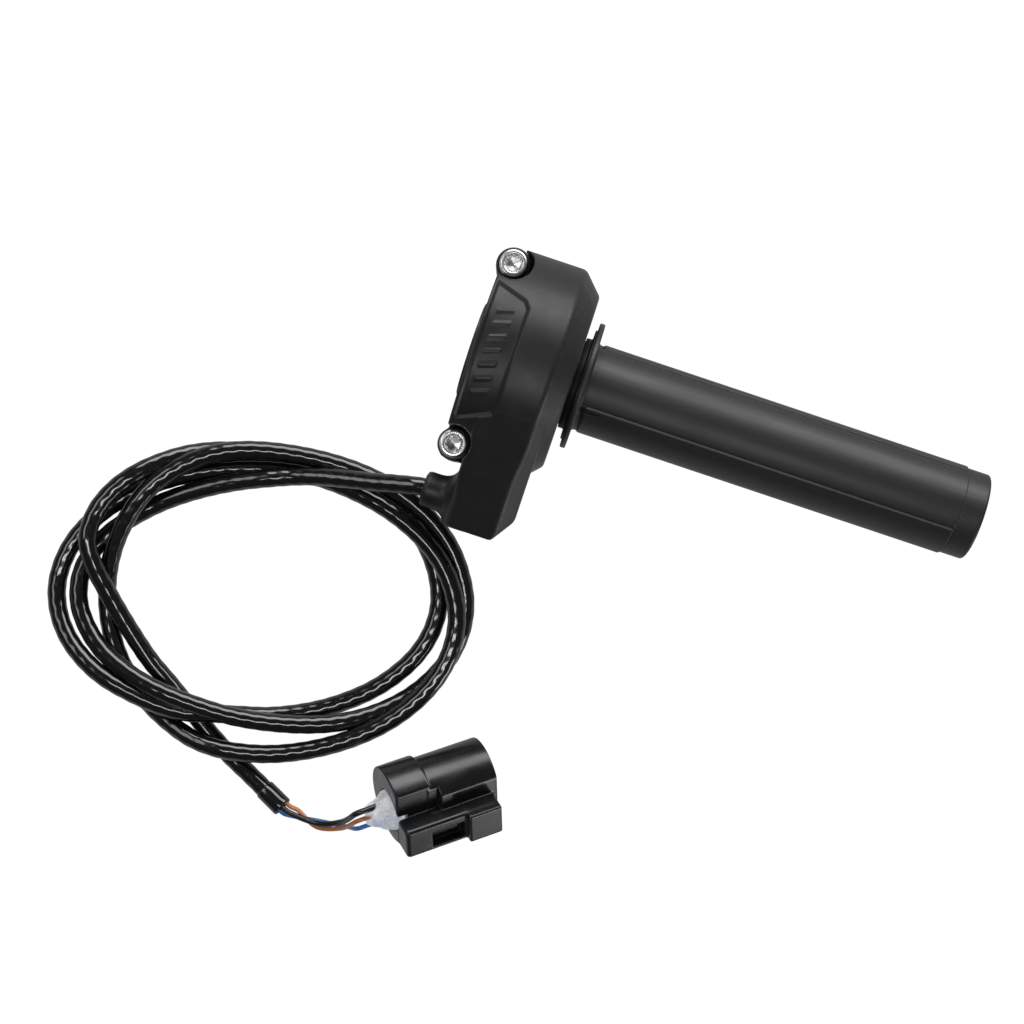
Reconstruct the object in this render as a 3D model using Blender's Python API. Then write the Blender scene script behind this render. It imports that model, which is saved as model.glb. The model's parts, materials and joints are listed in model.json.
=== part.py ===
"""Motorcycle throttle grip with hall sensor housing, coiled lead and sealed plug.

The origin is the middle of the housing's flat back, straight behind the handlebar axis. +X runs outboard
along the bar, +Y runs from the bar towards the upper clamp screw and +Z leaves the label face.
Sizes below are in millimetres, counted from the point where the handlebar axis meets the housing's inboard
face; an empty stands at that point and every piece hangs from it. Meshes are written in metres.
"""

import math

import bmesh
import bpy
import numpy as np
from mathutils import Matrix, Vector

MM = 0.001
ORIGIN = (15.0, 0.0, -22.0)

# Housing
DRUM_R = 33.0
DRUM_X = 30.2
RIM_X, RIM_R = 24.0, 26.6
SPLIT = 0.15
BACK_Z = -22.0
BACK_INSIDE = -20.3
BAR_R = 11.2
BOSS_R, BOSS_X = 14.2, -1.4
TAIL_LEFT, TAIL_RIGHT = 7.2, 27.3
TAIL_BOTTOM, TAIL_BACK = -52.5, -12.0
TAIL_SLOPE = 30.0
TAIL_RIM_X = 22.9
NECK_Y, NECK_R, NECK_X = -43.8, 5.4, -1.9
NECK_BORE = 4.4
WALL, TAIL_WALL = 2.4, 2.0
CAVITY_R = DRUM_R - WALL - 0.4
LUGS = ((3.0, 27.0, 5.25, 6.1), (3.0, -28.75, 4.9, 5.4))   # (x, y, radius, radius of the pocket round it)
LUG_TOP, LUG_FOOT = 7.0, -12.5
WEB_Y = (-33.3, -26.0)
PANEL_DEPTH, RIB_HEIGHT = 0.9, 0.4
PANEL = ((0.6, 19.0), (10.3, 16.0), (11.8, 14.0), (11.8, -15.5), (11.2, -17.6), (1.4, -21.6), (0.6, -20.8))

# Twist tube
TUBE_BORE = 11.5
HUB_R, HUB_X = 13.0, 11.6
COLLAR_X, COLLAR_R = 30.5, 14.0
FLANGE_X, FLANGE_END, FLANGE_R = 32.3, 34.5, 17.0
THIN_RIM_X, THIN_RIM_R = 32.9, 19.4
SLEEVE_R, PANEL_R = 13.2, 13.65
PANEL_X, TUBE_END = (36.3, 150.3), 157.4
PANEL_SPANS = ((61.0, 152.0), (241.0, 332.0))
THRUST_X = (22.9, 24.2)
THRUST_R = 15.6

# Mechanism inside the drum
BUSH_IN, BUSH_WALL = 13.35, 2.3
CARRIER_X = (18.9, 22.5)
CARRIER_R = 17.8
MAGNET_R = (18.1, 19.8)
MAGNET_SPANS = ((96.5, 136.5), (148.5, 188.5))
LUG_SPAN, LUG_R = (-8.0, 2.0), 22.2
STOP_SPANS = ((-20.0, -14.0), (80.0, 86.0))
SPRING_R, SPRING_WIRE, SPRING_TURNS = 19.3, 0.55, 3.0
SPRING_X = (12.4, 16.9)

# Fasteners
M5_R, M5_HEAD_R, M5_HEAD = 2.5, 4.2, 5.0
M5_TIP = -12.0
NUT_FLATS, NUT_Z = 8.0, (-12.3, -8.3)
CASE_SCREWS = (   # (name, x, y, height of the seat, height of the tip, top of the pillar it bites into)
    ("case_screw_drum", 19.5, 27.2, -13.4, 7.0, 12.5),
    ("case_screw_tail", 19.6, -47.4, -9.2, 4.6, 7.4),
)
CASE_SCREW_R, CASE_HEAD_R = 1.45, 2.8
SMALL_SCREW_R, SMALL_HOLE_R = 0.85, 1.15
CLAMP_X, CLAMP_Y = 13.5, (-48.35, -39.25)
HOLDER_SCREW = (22.6, -29.4)

# Lead: an oval coil, each bend a quarter of an ellipse from one extreme point of the oval to the next.
# Each extreme is (along the oval, across it, layer there, layer halfway to the next), from its middle;
# the extremes come in the order far side, left end, near side, right end.
CABLE_R = 2.85
COIL_CENTRE, COIL_ROLL = (-38.5, -92.5), 18.5
BENCH_Z, LAYER = -22.0, 6.2
COIL_EXTREMES = (
    (14.0, 38.0, 1.2, 0.0), (-56.0, 3.5, 0.4, 1.2), (16.5, -37.5, 1.1, 0.0), (62.5, -1.0, 0.3, 1.0),
    (-5.5, 46.0, 1.0, 1.0), (-47.5, 1.0, 0.1, 0.1), (0.5, -46.5, 1.0, 1.0), (60.0, -5.0, 1.1, 1.1),
    (-5.0, 40.5, 0.3, 0.0), (-63.0, 2.5, 0.1, 1.1), (-1.0, -35.5, 0.1, 0.0), (54.5, 1.0, 0.0, 0.0),
    (-8.5, 46.0, 0.0, 1.2), (-52.0, 18.0, 1.4, 1.0),
)
WAY_OUT = ((-44.0, -2.0, 0.6), (-31.0, -23.0, 0.0), (-12.5, -44.5, 0.0))
LEAD_DROP, CABLE_END = (-14.0, -46.5, -4.0), (-13.2, -149.5, -14.6)
SLEEVE_LONG, SLEEVE_OUT, SLEEVE_IN = 8.0, 3.2, 2.95
WIRES = (   # (name, radius, place in the sleeve's mouth sideways and up, three places on the way)
    ("wire_black", 0.9, (0.0, 0.9), ((-8.4, -150.9, -13.0), (0.3, -150.6, -10.6), (6.6, -147.2, -5.6))),
    ("wire_orange", 0.7, (1.5, -0.3), ((-7.6, -149.4, -14.8), (-0.7, -152.2, -13.0), (6.7, -149.6, -7.8))),
    ("wire_blue", 0.7, (-1.5, -0.5), ((-9.7, -152.0, -16.0), (0.0, -150.6, -15.4), (8.2, -148.9, -10.8))),
)

# Plug: local x runs towards its latch, local y is the mating direction and local z completes them
PLUG_AT, PLUG_TURN, PLUG_DIP, PLUG_ROLL = (18.2, -137.3, -0.8), 35.4, 19.0, 50.0
PLUG_LONG, PLUG_STEP, SHOULDER_Y = 32.0, 11.2, 13.6
PLUG_R, PLUG_FLAT = 11.0, 9.3
TAILPIECE_R, TAILPIECE_FLAT = 12.0, 7.4
LATCH_X, LATCH_Z = (6.0, 13.9), (-10.4, 0.2)
CATCH_X, CATCH_Y = 16.0, (19.7, 30.4)
WINDOW_X, WINDOW_Y, WINDOW_Z = 10.9, (8.6, 18.9), (-9.0, -3.0)
BACK_WELL_R, BACK_WELL_Y = 6.6, 3.4
SOCKET_R, SOCKET_FROM = 9.6, 14.5
WAYS_X, WAYS_Z = 1.0, (2.0, -1.2, -4.4)

STEPS = 36
COLOURS = {
    "case_black": ((0.018, 0.018, 0.020), 0.0, 0.42),
    "tube_charcoal": ((0.030, 0.031, 0.034), 0.0, 0.50),
    "bush_natural": ((0.72, 0.70, 0.62), 0.0, 0.45),
    "seal_rubber": ((0.012, 0.012, 0.012), 0.0, 0.75),
    "magnet_nickel": ((0.60, 0.60, 0.62), 1.0, 0.28),
    "carrier_plastic": ((0.20, 0.21, 0.23), 0.0, 0.50),
    "spring_steel": ((0.42, 0.42, 0.44), 1.0, 0.35),
    "stainless": ((0.66, 0.66, 0.68), 1.0, 0.22),
    "zinc_steel": ((0.52, 0.53, 0.54), 1.0, 0.35),
    "board_green": ((0.02, 0.16, 0.07), 0.0, 0.40),
    "chip_black": ((0.015, 0.015, 0.016), 0.0, 0.35),
    "cable_pvc": ((0.012, 0.012, 0.013), 0.0, 0.22),
    "wire_black": ((0.015, 0.015, 0.016), 0.0, 0.30),
    "wire_orange": ((0.62, 0.25, 0.06), 0.0, 0.35),
    "wire_blue": ((0.08, 0.25, 0.60), 0.0, 0.35),
    "hot_melt": ((0.78, 0.79, 0.80), 0.0, 0.30),
    "plug_black": ((0.014, 0.014, 0.016), 0.0, 0.28),
    "terminal_tin": ((0.70, 0.69, 0.66), 1.0, 0.30),
}


# ---- helpers -------------------------------------------------------------------------------------

def clear_scene():
    for obj in list(bpy.data.objects):
        bpy.data.objects.remove(obj)


def bar_axis():
    """The empty on the handlebar axis that every piece hangs from, and that the twist tube turns about."""
    found = bpy.data.objects.get("bar_axis")
    if not found:
        found = bpy.data.objects.new("bar_axis", None)
        found.location = [-value * MM for value in ORIGIN]
        bpy.context.scene.collection.objects.link(found)
    return found


def material(name):
    found = bpy.data.materials.get(name)
    if found:
        return found
    colour, metal, rough = COLOURS[name]
    made = bpy.data.materials.new(name)
    made.use_nodes = True
    shader = made.node_tree.nodes["Principled BSDF"]
    shader.inputs["Base Color"].default_value = (*colour, 1.0)
    shader.inputs["Metallic"].default_value = metal
    shader.inputs["Roughness"].default_value = rough
    return made


def solid(name, corners, faces, colour=None):
    """One closed mesh from corners in millimetres, with its faces turned outwards."""
    mesh = bpy.data.meshes.new(name)
    build = bmesh.new()
    points = [build.verts.new(Vector(corner) * MM) for corner in corners]
    for face in faces:
        build.faces.new([points[i] for i in face])
    bmesh.ops.recalc_face_normals(build, faces=build.faces)
    if build.calc_volume(signed=True) < 0:
        bmesh.ops.reverse_faces(build, faces=build.faces)
    build.to_mesh(mesh)
    build.free()
    made = bpy.data.objects.new(name, mesh)
    made.parent = bar_axis()
    bpy.context.scene.collection.objects.link(made)
    if colour:
        mesh.materials.append(material(colour))
    return made


def helper(obj):
    """Keeps a cutter or a joined shape out of the finished part."""
    obj.hide_render = True
    obj.display_type = "WIRE"
    return obj


def combine(obj, other, operation):
    """One Boolean, followed by a split of its many-sided faces so that the next one meets flat faces only.

    The two case halves take dozens of cuts each, more than the EXACT solver keeps closed.
    """
    step = obj.modifiers.new(other.name, "BOOLEAN")
    step.solver = "MANIFOLD" if obj.name in ("front_case", "rear_case") else "EXACT"
    step.operation = operation
    step.object = helper(other)
    flat = obj.modifiers.new(other.name + "_flat", "TRIANGULATE")
    flat.min_vertices = 5
    return obj


def cut(obj, *others):
    for other in others:
        combine(obj, other, "DIFFERENCE")
    return obj


def join(obj, *others):
    for other in others:
        combine(obj, other, "UNION")
    return obj


def keep(obj, other):
    return combine(obj, other, "INTERSECT")


def prism(name, outline, low, high, along="Z", colour=None):
    """An outline pulled along one axis: given as (y, z) along X, (x, z) along Y and (x, y) along Z."""
    place = {
        "X": lambda a, b, t: (t, a, b),
        "Y": lambda a, b, t: (a, t, b),
        "Z": lambda a, b, t: (a, b, t),
    }[along]
    count = len(outline)
    corners = [place(a, b, low) for a, b in outline] + [place(a, b, high) for a, b in outline]
    faces = [tuple(range(count)), tuple(range(count, 2 * count))]
    faces += [(i, (i + 1) % count, count + (i + 1) % count, count + i) for i in range(count)]
    return solid(name, corners, faces, colour)


def block(name, x, y, z, colour=None):
    outline = ((x[0], y[0]), (x[1], y[0]), (x[1], y[1]), (x[0], y[1]))
    return prism(name, outline, z[0], z[1], "Z", colour)


def turned(name, profile, steps=STEPS, along="X", centre=(0.0, 0.0), colour=None):
    """A closed (distance along, radius) profile turned about an axis; radius 0 is a point on it."""
    corners, rings = [], []
    for distance, radius in profile:
        ring = []
        for i in range(steps if radius > 0 else 1):
            angle = 2 * math.pi * i / steps
            a, b = centre[0] + radius * math.cos(angle), centre[1] + radius * math.sin(angle)
            corners.append((distance, a, b) if along == "X" else (a, b, distance))
            ring.append(len(corners) - 1)
        rings.append(ring)
    faces = []
    for ring, after in zip(rings, rings[1:] + rings[:1]):
        if len(ring) == 1 and len(after) == 1:
            continue
        for i in range(steps):
            j = (i + 1) % steps
            loop = [ring[i % len(ring)], ring[j % len(ring)], after[j % len(after)], after[i % len(after)]]
            faces.append(tuple(dict.fromkeys(loop)))
    return solid(name, corners, faces, colour)


def rod(name, x, y, radius, low, high, steps=16, colour=None):
    """A round bar standing along Z."""
    return turned(name, ((low, 0), (low, radius), (high, radius), (high, 0)), steps, "Z", (x, y), colour)


def sector(name, span, radii, x, steps=10, colour=None):
    """A piece of ring about the bar axis; angles are counted from +Y towards +Z."""
    angles = [math.radians(span[0] + (span[1] - span[0]) * i / steps) for i in range(steps + 1)]
    outline = [(radii[1] * math.cos(a), radii[1] * math.sin(a)) for a in angles]
    outline += [(radii[0] * math.cos(a), radii[0] * math.sin(a)) for a in reversed(angles)]
    return prism(name, outline, x[0], x[1], "X", colour)


def hexagon(flats, x, y):
    reach = flats / math.sqrt(3)
    turns = [math.pi * (2 * k + 1) / 6 for k in range(6)]
    return [(x + reach * math.cos(turn), y + reach * math.sin(turn)) for turn in turns]


def smooth_path(points, spacing):
    """A curve through points, resampled at even spacing (centripetal Catmull-Rom)."""
    points = np.array(points, float)
    ends = np.vstack([2 * points[0] - points[1], points, 2 * points[-1] - points[-2]])
    dense = []
    for p0, p1, p2, p3 in zip(ends, ends[1:], ends[2:], ends[3:]):
        steps = [max(np.linalg.norm(b - a), 1e-6) ** 0.5 for a, b in ((p0, p1), (p1, p2), (p2, p3))]
        knots = np.cumsum([0.0] + steps)
        for t in np.linspace(knots[1], knots[2], 16, endpoint=False):
            a1 = p0 + (p1 - p0) * (t - knots[0]) / (knots[1] - knots[0])
            a2 = p1 + (p2 - p1) * (t - knots[1]) / (knots[2] - knots[1])
            a3 = p2 + (p3 - p2) * (t - knots[2]) / (knots[3] - knots[2])
            b1 = a1 + (a2 - a1) * (t - knots[0]) / (knots[2] - knots[0])
            b2 = a2 + (a3 - a2) * (t - knots[1]) / (knots[3] - knots[1])
            dense.append(b1 + (b2 - b1) * (t - knots[1]) / (knots[2] - knots[1]))
    dense = np.array(dense + [points[-1]])
    along = np.concatenate([[0.0], np.cumsum(np.linalg.norm(np.diff(dense, axis=0), axis=1))])
    wanted = np.linspace(0.0, along[-1], max(2, int(round(along[-1] / spacing))) + 1)
    return np.column_stack([np.interp(wanted, along, dense[:, k]) for k in range(3)])


def swept(name, path, radius, sides=10, colour=None):
    """A round bar along a path, with flat ends and no twist."""
    path = np.array(path, float)
    runs = np.gradient(path, axis=0)
    runs /= np.linalg.norm(runs, axis=1)[:, None]
    side = np.cross(runs[0], (0.0, 0.0, 1.0) if abs(runs[0][2]) < 0.9 else (0.0, 1.0, 0.0))
    corners = []
    for point, run in zip(path, runs):
        side = side - run * np.dot(side, run)
        side /= np.linalg.norm(side)
        lift = np.cross(run, side)
        for i in range(sides):
            angle = 2 * math.pi * i / sides
            corners.append(tuple(point + radius * (side * math.cos(angle) + lift * math.sin(angle))))
    faces = [tuple(range(sides)), tuple(range(len(corners) - sides, len(corners)))]
    for row in range(len(path) - 1):
        for i in range(sides):
            j = (i + 1) % sides
            faces.append((row * sides + i, row * sides + j, (row + 1) * sides + j, (row + 1) * sides + i))
    return solid(name, corners, faces, colour)


# ---- housing -------------------------------------------------------------------------------------

def drum_shape(name):
    edge = 0.5
    profile = ((0, 0), (0, DRUM_R - edge), (edge, DRUM_R), (RIM_X, DRUM_R), (DRUM_X, RIM_R), (DRUM_X, 0))
    return turned(name, profile, 60)


def tail_front(y, depth=0.0):
    """Height at y of the tail's sloping front, which just touches the drum, or of a plane below it."""
    slope = math.radians(TAIL_SLOPE)
    return (DRUM_R - depth + y * math.sin(slope)) / math.cos(slope)


def tail_shape(name):
    """The lower box of the housing, with a sloping front and a bevel that carries on from the drum's."""
    side = (
        (-16.0, TAIL_BACK), (TAIL_BOTTOM + 1.0, TAIL_BACK), (TAIL_BOTTOM, TAIL_BACK + 1.0),
        (TAIL_BOTTOM, tail_front(TAIL_BOTTOM)), (-16.6, tail_front(-16.6)),
    )
    front = (
        (TAIL_LEFT, -16.0), (TAIL_LEFT, -51.0), (8.2, TAIL_BOTTOM), (21.8, TAIL_BOTTOM),
        (22.6, -52.0), (TAIL_RIGHT, -45.0), (TAIL_RIGHT, -16.0),
    )
    shape = prism(name, side, TAIL_LEFT - 1, TAIL_RIGHT + 1, "X")
    keep(shape, prism(name + "_front", front, TAIL_BACK - 1, 28.0, "Z"))
    drop = (DRUM_R - RIM_R) / (DRUM_X - RIM_X)
    over = 2.0
    ends = [
        [(TAIL_RIM_X - over, y, tail_front(y, -over * drop)), (DRUM_X, y, tail_front(y, -over * drop)),
         (DRUM_X, y, tail_front(y, (DRUM_X - TAIL_RIM_X) * drop))]
        for y in (-70.0, -10.0)
    ]
    faces = [(0, 1, 2), (3, 4, 5), (0, 1, 4, 3), (1, 2, 5, 4), (2, 0, 3, 5)]
    return cut(shape, solid(name + "_bevel", ends[0] + ends[1], faces))


def neck_shape(name):
    profile = (
        (NECK_X, 0.0), (NECK_X, NECK_R - 1.0), (NECK_X + 0.3, NECK_R - 0.4), (NECK_X + 1.0, NECK_R),
        (5.2, NECK_R), (6.4, NECK_R + 0.6), (7.3, NECK_R + 2.0), (9.5, NECK_R + 2.0), (9.5, 0.0),
    )
    return turned(name, profile, 24, "X", (NECK_Y, 0.0))


def lug_shapes(name):
    shapes = [rod(f"{name}_{i}", x, y, r, LUG_FOOT, LUG_TOP, 24) for i, (x, y, r, _) in enumerate(LUGS)]
    web = block(name + "_web", (3.0, TAIL_LEFT + 3), WEB_Y, (LUG_FOOT + 0.3, LUG_TOP - 1.0))
    return shapes + [web]


def mechanism_void(name):
    """The room for the tube, its two bushes, the spring and the magnets."""
    profile = (
        (11.0, 0.0), (11.0, 15.9), (15.2, 15.9), (15.2, 14.7), (16.4, 14.7), (16.4, 18.4), (11.2, 18.4),
        (11.2, CAVITY_R), (23.0, CAVITY_R), (27.4, 25.6), (27.4, 18.8), (24.6, 18.8), (24.6, 14.7),
        (25.6, 14.7), (25.6, 16.0), (29.0, 16.0), (29.0, 14.7), (DRUM_X + 1, 14.7), (DRUM_X + 1, 0.0),
    )
    return turned(name, profile, STEPS)


def tail_void(name):
    outline = (
        (11.6, -24.0), (11.6, -33.5), (9.7, -35.0), (9.7, -50.0), (20.6, -50.0), (24.8, -44.0), (24.8, -24.0),
    )
    roof = (
        (-60.0, TAIL_BACK + WALL), (-60.0, tail_front(-60.0, TAIL_WALL)),
        (-50.0, tail_front(-50.0, TAIL_WALL)), (-42.0, 8.6), (-20.0, 8.6), (-20.0, TAIL_BACK + WALL),
    )
    void = prism(name, outline, TAIL_BACK + WALL, 30.0, "Z")
    return keep(void, prism(name + "_roof", roof, 5.0, 30.0, "X"))


def label_cylinder(name, height):
    """Everything closer to the bar axis than this height over the recess's floor."""
    radius = DRUM_R - PANEL_DEPTH + height
    return turned(name, ((-5, 0), (-5, radius), (20, radius), (20, 0)), 60)


def label_recess(name):
    return cut(prism(name, PANEL, 12.0, 40.0, "Z"), label_cylinder(name + "_floor", 0.0))


def label_bars(name):
    """A plain row of slanted ribs standing on the floor of the label recess."""
    bars = []
    for i in range(7):
        y = -14.5 + i * 4.1
        outline = ((3.4, y), (8.2, y + 1.6), (8.2, y + 2.9), (3.4, y + 1.3))
        bar = prism(f"{name}_{i}", outline, 20.0, 40.0, "Z")
        bars.append(keep(bar, label_cylinder(f"{name}_{i}_top", RIB_HEIGHT)))
    return bars


def case_outside(name, half):
    """The whole housing's outer shape, cut down to the half named."""
    case = join(drum_shape(name), tail_shape(name + "_tail"), neck_shape(name + "_neck"))
    boss = ((BOSS_X, 0), (BOSS_X, BOSS_R - 0.4), (BOSS_X + 0.4, BOSS_R), (1, BOSS_R), (1, 0))
    join(case, turned(name + "_boss", boss, 48))
    for i, (x, y, _, pocket) in enumerate(LUGS):
        cut(case, rod(f"{name}_pocket_{i}", x, y, pocket, LUG_TOP - 1.3, 45, 32))
    x, y, _, pocket = LUGS[0]
    open_side = rod(name + "_open_side", x, y, pocket, LUG_FOOT + 0.2, 30, 32)
    keep(open_side, block(name + "_beyond_lug", (-10, 20), (y, 40), (LUG_FOOT, 20)))
    cut(case, open_side, block(name + "_open_corner", (-10, x), (y + 1, 40), (LUG_FOOT + 0.2, 29)))
    join(case, *lug_shapes(name + "_lug"))
    low, high = (SPLIT, 60.0) if half == "front" else (BACK_Z, -SPLIT)
    return keep(case, block(name + "_half", (-20.0, 60.0), (-80.0, 60.0), (low, high)))


def hollow(case, name):
    """Cuts the bar bore, the pockets and the room for the mechanism, the sensor and the lead."""
    cut(case, turned(name + "_bar", ((-5, 0), (-5, BAR_R), (14, BAR_R), (14, 0)), STEPS))
    saddle = turned(name + "_saddle_pocket", ((2.4, 14.9), (2.4, 23.0), (8.6, 23.0), (8.6, 14.9)), 40)
    for void in (saddle, mechanism_void(name + "_mechanism")):
        above_back = block(void.name + "_floor", (-10.0, 60.0), (-60.0, 60.0), (BACK_INSIDE, 60.0))
        cut(case, keep(void, above_back))
    cut(case, tail_void(name + "_tail_void"))
    neck_bore = ((-5, 0), (-5, NECK_BORE), (11, NECK_BORE), (11, 0))
    cut(case, turned(name + "_neck_bore", neck_bore, 28, "X", (NECK_Y, 0.0)))
    for i, (x, y, _, _) in enumerate(LUGS):
        cut(case, rod(f"{name}_screw_hole_{i}", x, y, M5_R + 0.3, -30, 30))
    return case


def front_case():
    case = case_outside("front_case", "front")
    hollow(case, "front")
    cut(case, label_recess("label_recess"))
    join(case, *label_bars("label_bar"))
    for name, x, y, _, tip, top in CASE_SCREWS:
        join(case, rod(name + "_pillar", x, y, 2.9, SPLIT, top, 20))
        cut(case, rod(name + "_pilot", x, y, 1.75, -1, tip + 1.2, 16))
    join(case, stop_rib("stop_open", STOP_SPANS[1], CAVITY_R + 0.8))
    case.data.materials.append(material("case_black"))
    return case


def rear_case():
    case = case_outside("rear_case", "rear")
    hollow(case, "rear")
    for i, (x, y, _, _) in enumerate(LUGS):
        cut(case, prism(f"nut_pocket_{i}", hexagon(NUT_FLATS + 0.6, x, y), -30, NUT_Z[1] + 0.3, "Z"))
    for name, x, y, seat, _, _ in CASE_SCREWS:
        join(case, rod(name + "_post", x, y, 4.3 if y > 0 else 3.4, seat - 2.0, -SPLIT, 20))
        cut(case, rod(name + "_hole", x, y, 1.75, -30, 5, 16))
        cut(case, rod(name + "_sink", x, y, 3.1, -30, seat, 20))
    for i, y in enumerate(CLAMP_Y):
        join(case, rod(f"clamp_post_{i}", CLAMP_X, y, 1.9, TAIL_BACK + 1, -0.5, 16))
        cut(case, rod(f"clamp_post_hole_{i}", CLAMP_X, y, SMALL_HOLE_R, -9.0, 1, 12))
    join(case, rod("holder_post", *HOLDER_SCREW, 2.0, TAIL_BACK + 1, -8.0, 16))
    cut(case, rod("holder_post_hole", *HOLDER_SCREW, SMALL_HOLE_R, -11.0, -5, 12))
    join(case, stop_rib("stop_closed", STOP_SPANS[0], 24.9))
    case.data.materials.append(material("case_black"))
    return case


def stop_rib(name, span, outer):
    """A rib inside the drum that the carrier's lug meets at the end of its travel."""
    return sector(name, span, (20.9, outer), (17.6, 21.0), 3)


# ---- twist tube and what turns with it -----------------------------------------------------------

def twist_tube():
    profile = (
        (HUB_X, TUBE_BORE), (HUB_X, HUB_R), (THRUST_X[0], HUB_R),
        (THRUST_X[0], THRUST_R), (THRUST_X[1], THRUST_R), (THRUST_X[1], HUB_R), (COLLAR_X, HUB_R),
        (COLLAR_X, COLLAR_R), (FLANGE_X, COLLAR_R), (FLANGE_X, FLANGE_R), (THIN_RIM_X, FLANGE_R),
        (THIN_RIM_X, THIN_RIM_R), (FLANGE_END, THIN_RIM_R), (FLANGE_END, SLEEVE_R),
        (TUBE_END - 0.7, SLEEVE_R), (TUBE_END, SLEEVE_R - 0.7), (TUBE_END, TUBE_BORE),
    )
    tube = turned("twist_tube", profile, 40, colour="tube_charcoal")
    for i, (start, end) in enumerate(PANEL_SPANS):
        span = (90.0 - end, 90.0 - start)
        join(tube, sector(f"grip_panel_{i}", span, (12.6, PANEL_R), PANEL_X, 12))
    join(tube, sector("carrier_key", (26.0, 34.0), (12.2, 14.1), (CARRIER_X[0], CARRIER_X[1] + 0.8), 2))
    cut(tube, sector("gate_slot", (122.0, 126.0), (12.5, 15.0), (FLANGE_END + 0.1, 41.4), 2))
    return tube


def magnet_carrier():
    carrier = ring("magnet_carrier", CARRIER_X, BUSH_IN, CARRIER_R, "carrier_plastic", STEPS)
    join(carrier, sector("carrier_lug", LUG_SPAN, (16.6, LUG_R), (CARRIER_X[0], 20.5), 3))
    for i, span in enumerate(((89.0, 95.5), (137.8, 147.2), (189.5, 196.0))):
        join(carrier, sector(f"magnet_fence_{i}", span, (16.6, 19.6), CARRIER_X, 3))
    cut(carrier, sector("key_slot", (23.5, 36.5), (12.0, 14.5), (CARRIER_X[0] - 1, CARRIER_X[1] + 1), 3))
    return carrier


def magnets():
    return [
        sector(name, span, MAGNET_R, (CARRIER_X[0] + 0.2, CARRIER_X[1] - 0.2), 12, "magnet_nickel")
        for name, span in zip(("magnet_open_side", "magnet_closed_side"), MAGNET_SPANS)
    ]


# ---- bushes, seal and spring ---------------------------------------------------------------------

def ring(name, x, inner, outer, colour, steps=32):
    return turned(name, ((x[0], inner), (x[0], outer), (x[1], outer), (x[1], inner)), steps, colour=colour)


def return_spring():
    """A torsion spring round the inner bush seat, with one leg to the case and one to the carrier."""
    steps = int(SPRING_TURNS * 24)
    begin = math.radians(200.0)
    coil = []
    for i in range(steps + 1):
        angle = begin + 2 * math.pi * SPRING_TURNS * i / steps
        x = SPRING_X[0] + (SPRING_X[1] - SPRING_X[0]) * i / steps
        coil.append((x, SPRING_R * math.cos(angle), SPRING_R * math.sin(angle)))
    case_leg = [(SPRING_X[0], r * math.cos(begin), r * math.sin(begin)) for r in (27.0, 24.0, 22.0)]
    end = begin + 0.1
    carrier_leg = [(x, SPRING_R * math.cos(end), SPRING_R * math.sin(end)) for x in (18.0, 20.0, 21.4)]
    path = smooth_path(case_leg + coil + carrier_leg, 5.0)
    return swept("return_spring", path, SPRING_WIRE, 6, "spring_steel")


# ---- fasteners -----------------------------------------------------------------------------------

def clamp_screw(name, x, y):
    seat = LUG_TOP + 0.3
    top = seat + M5_HEAD
    screw = turned(name, (
        (M5_TIP, 0), (M5_TIP, M5_R - 0.5), (M5_TIP + 0.5, M5_R), (seat, M5_R), (seat, M5_HEAD_R),
        (top - 0.4, M5_HEAD_R), (top, M5_HEAD_R - 0.4), (top, 0)), 20, "Z", (x, y), "stainless")
    cut(screw, prism(name + "_socket", hexagon(4.0, x, y), top - 2.6, top + 1, "Z"))
    return screw


def clamp_nut(name, x, y):
    nut = prism(name, hexagon(NUT_FLATS, x, y), NUT_Z[0], NUT_Z[1], "Z", "zinc_steel")
    return cut(nut, rod(name + "_thread", x, y, M5_R + 0.3, -20, 0))


def pan_screw(name, x, y, seat, tip, radius, head_r, head, upward, colour="zinc_steel"):
    """A cross-recess screw along Z; upward screws have their head at the bottom."""
    way = 1 if upward else -1
    screw = turned(name, (
        (tip, 0), (tip - way * 1.2, radius), (seat, radius), (seat, head_r),
        (seat - way * head * 0.6, head_r), (seat - way * head, head_r * 0.7), (seat - way * head, 0)),
        14, "Z", (x, y), colour)
    low, high = sorted((seat - way * (head + 1), seat - way * head * 0.35))
    cross = block(name + "_cross", (x - 1.3, x + 1.3), (y - 0.3, y + 0.3), (low, high))
    bar = block(name + "_cross_bar", (x - 0.3, x + 0.3), (y - 1.3, y + 1.3), (low + 0.05, high - 0.05))
    join(cross, bar)
    return cut(screw, cross)


def fasteners():
    for name, (x, y, _, _) in zip(("upper", "lower"), LUGS):
        clamp_screw(f"clamp_screw_{name}", x, y)
        clamp_nut(f"clamp_nut_{name}", x, y)
    for name, x, y, seat, tip, _ in CASE_SCREWS:
        pan_screw(name, x, y, seat - 0.3, tip, CASE_SCREW_R, CASE_HEAD_R, 1.9, True)
    for name, y in zip(("cable_clamp_screw_low", "cable_clamp_screw_high"), CLAMP_Y):
        pan_screw(name, CLAMP_X, y, 5.2, -7.6, SMALL_SCREW_R, 1.7, 1.4, False)
    pan_screw("holder_screw", *HOLDER_SCREW, -5.7, -10.4, SMALL_SCREW_R, 1.6, 1.2, False)


# ---- sensor --------------------------------------------------------------------------------------

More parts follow.
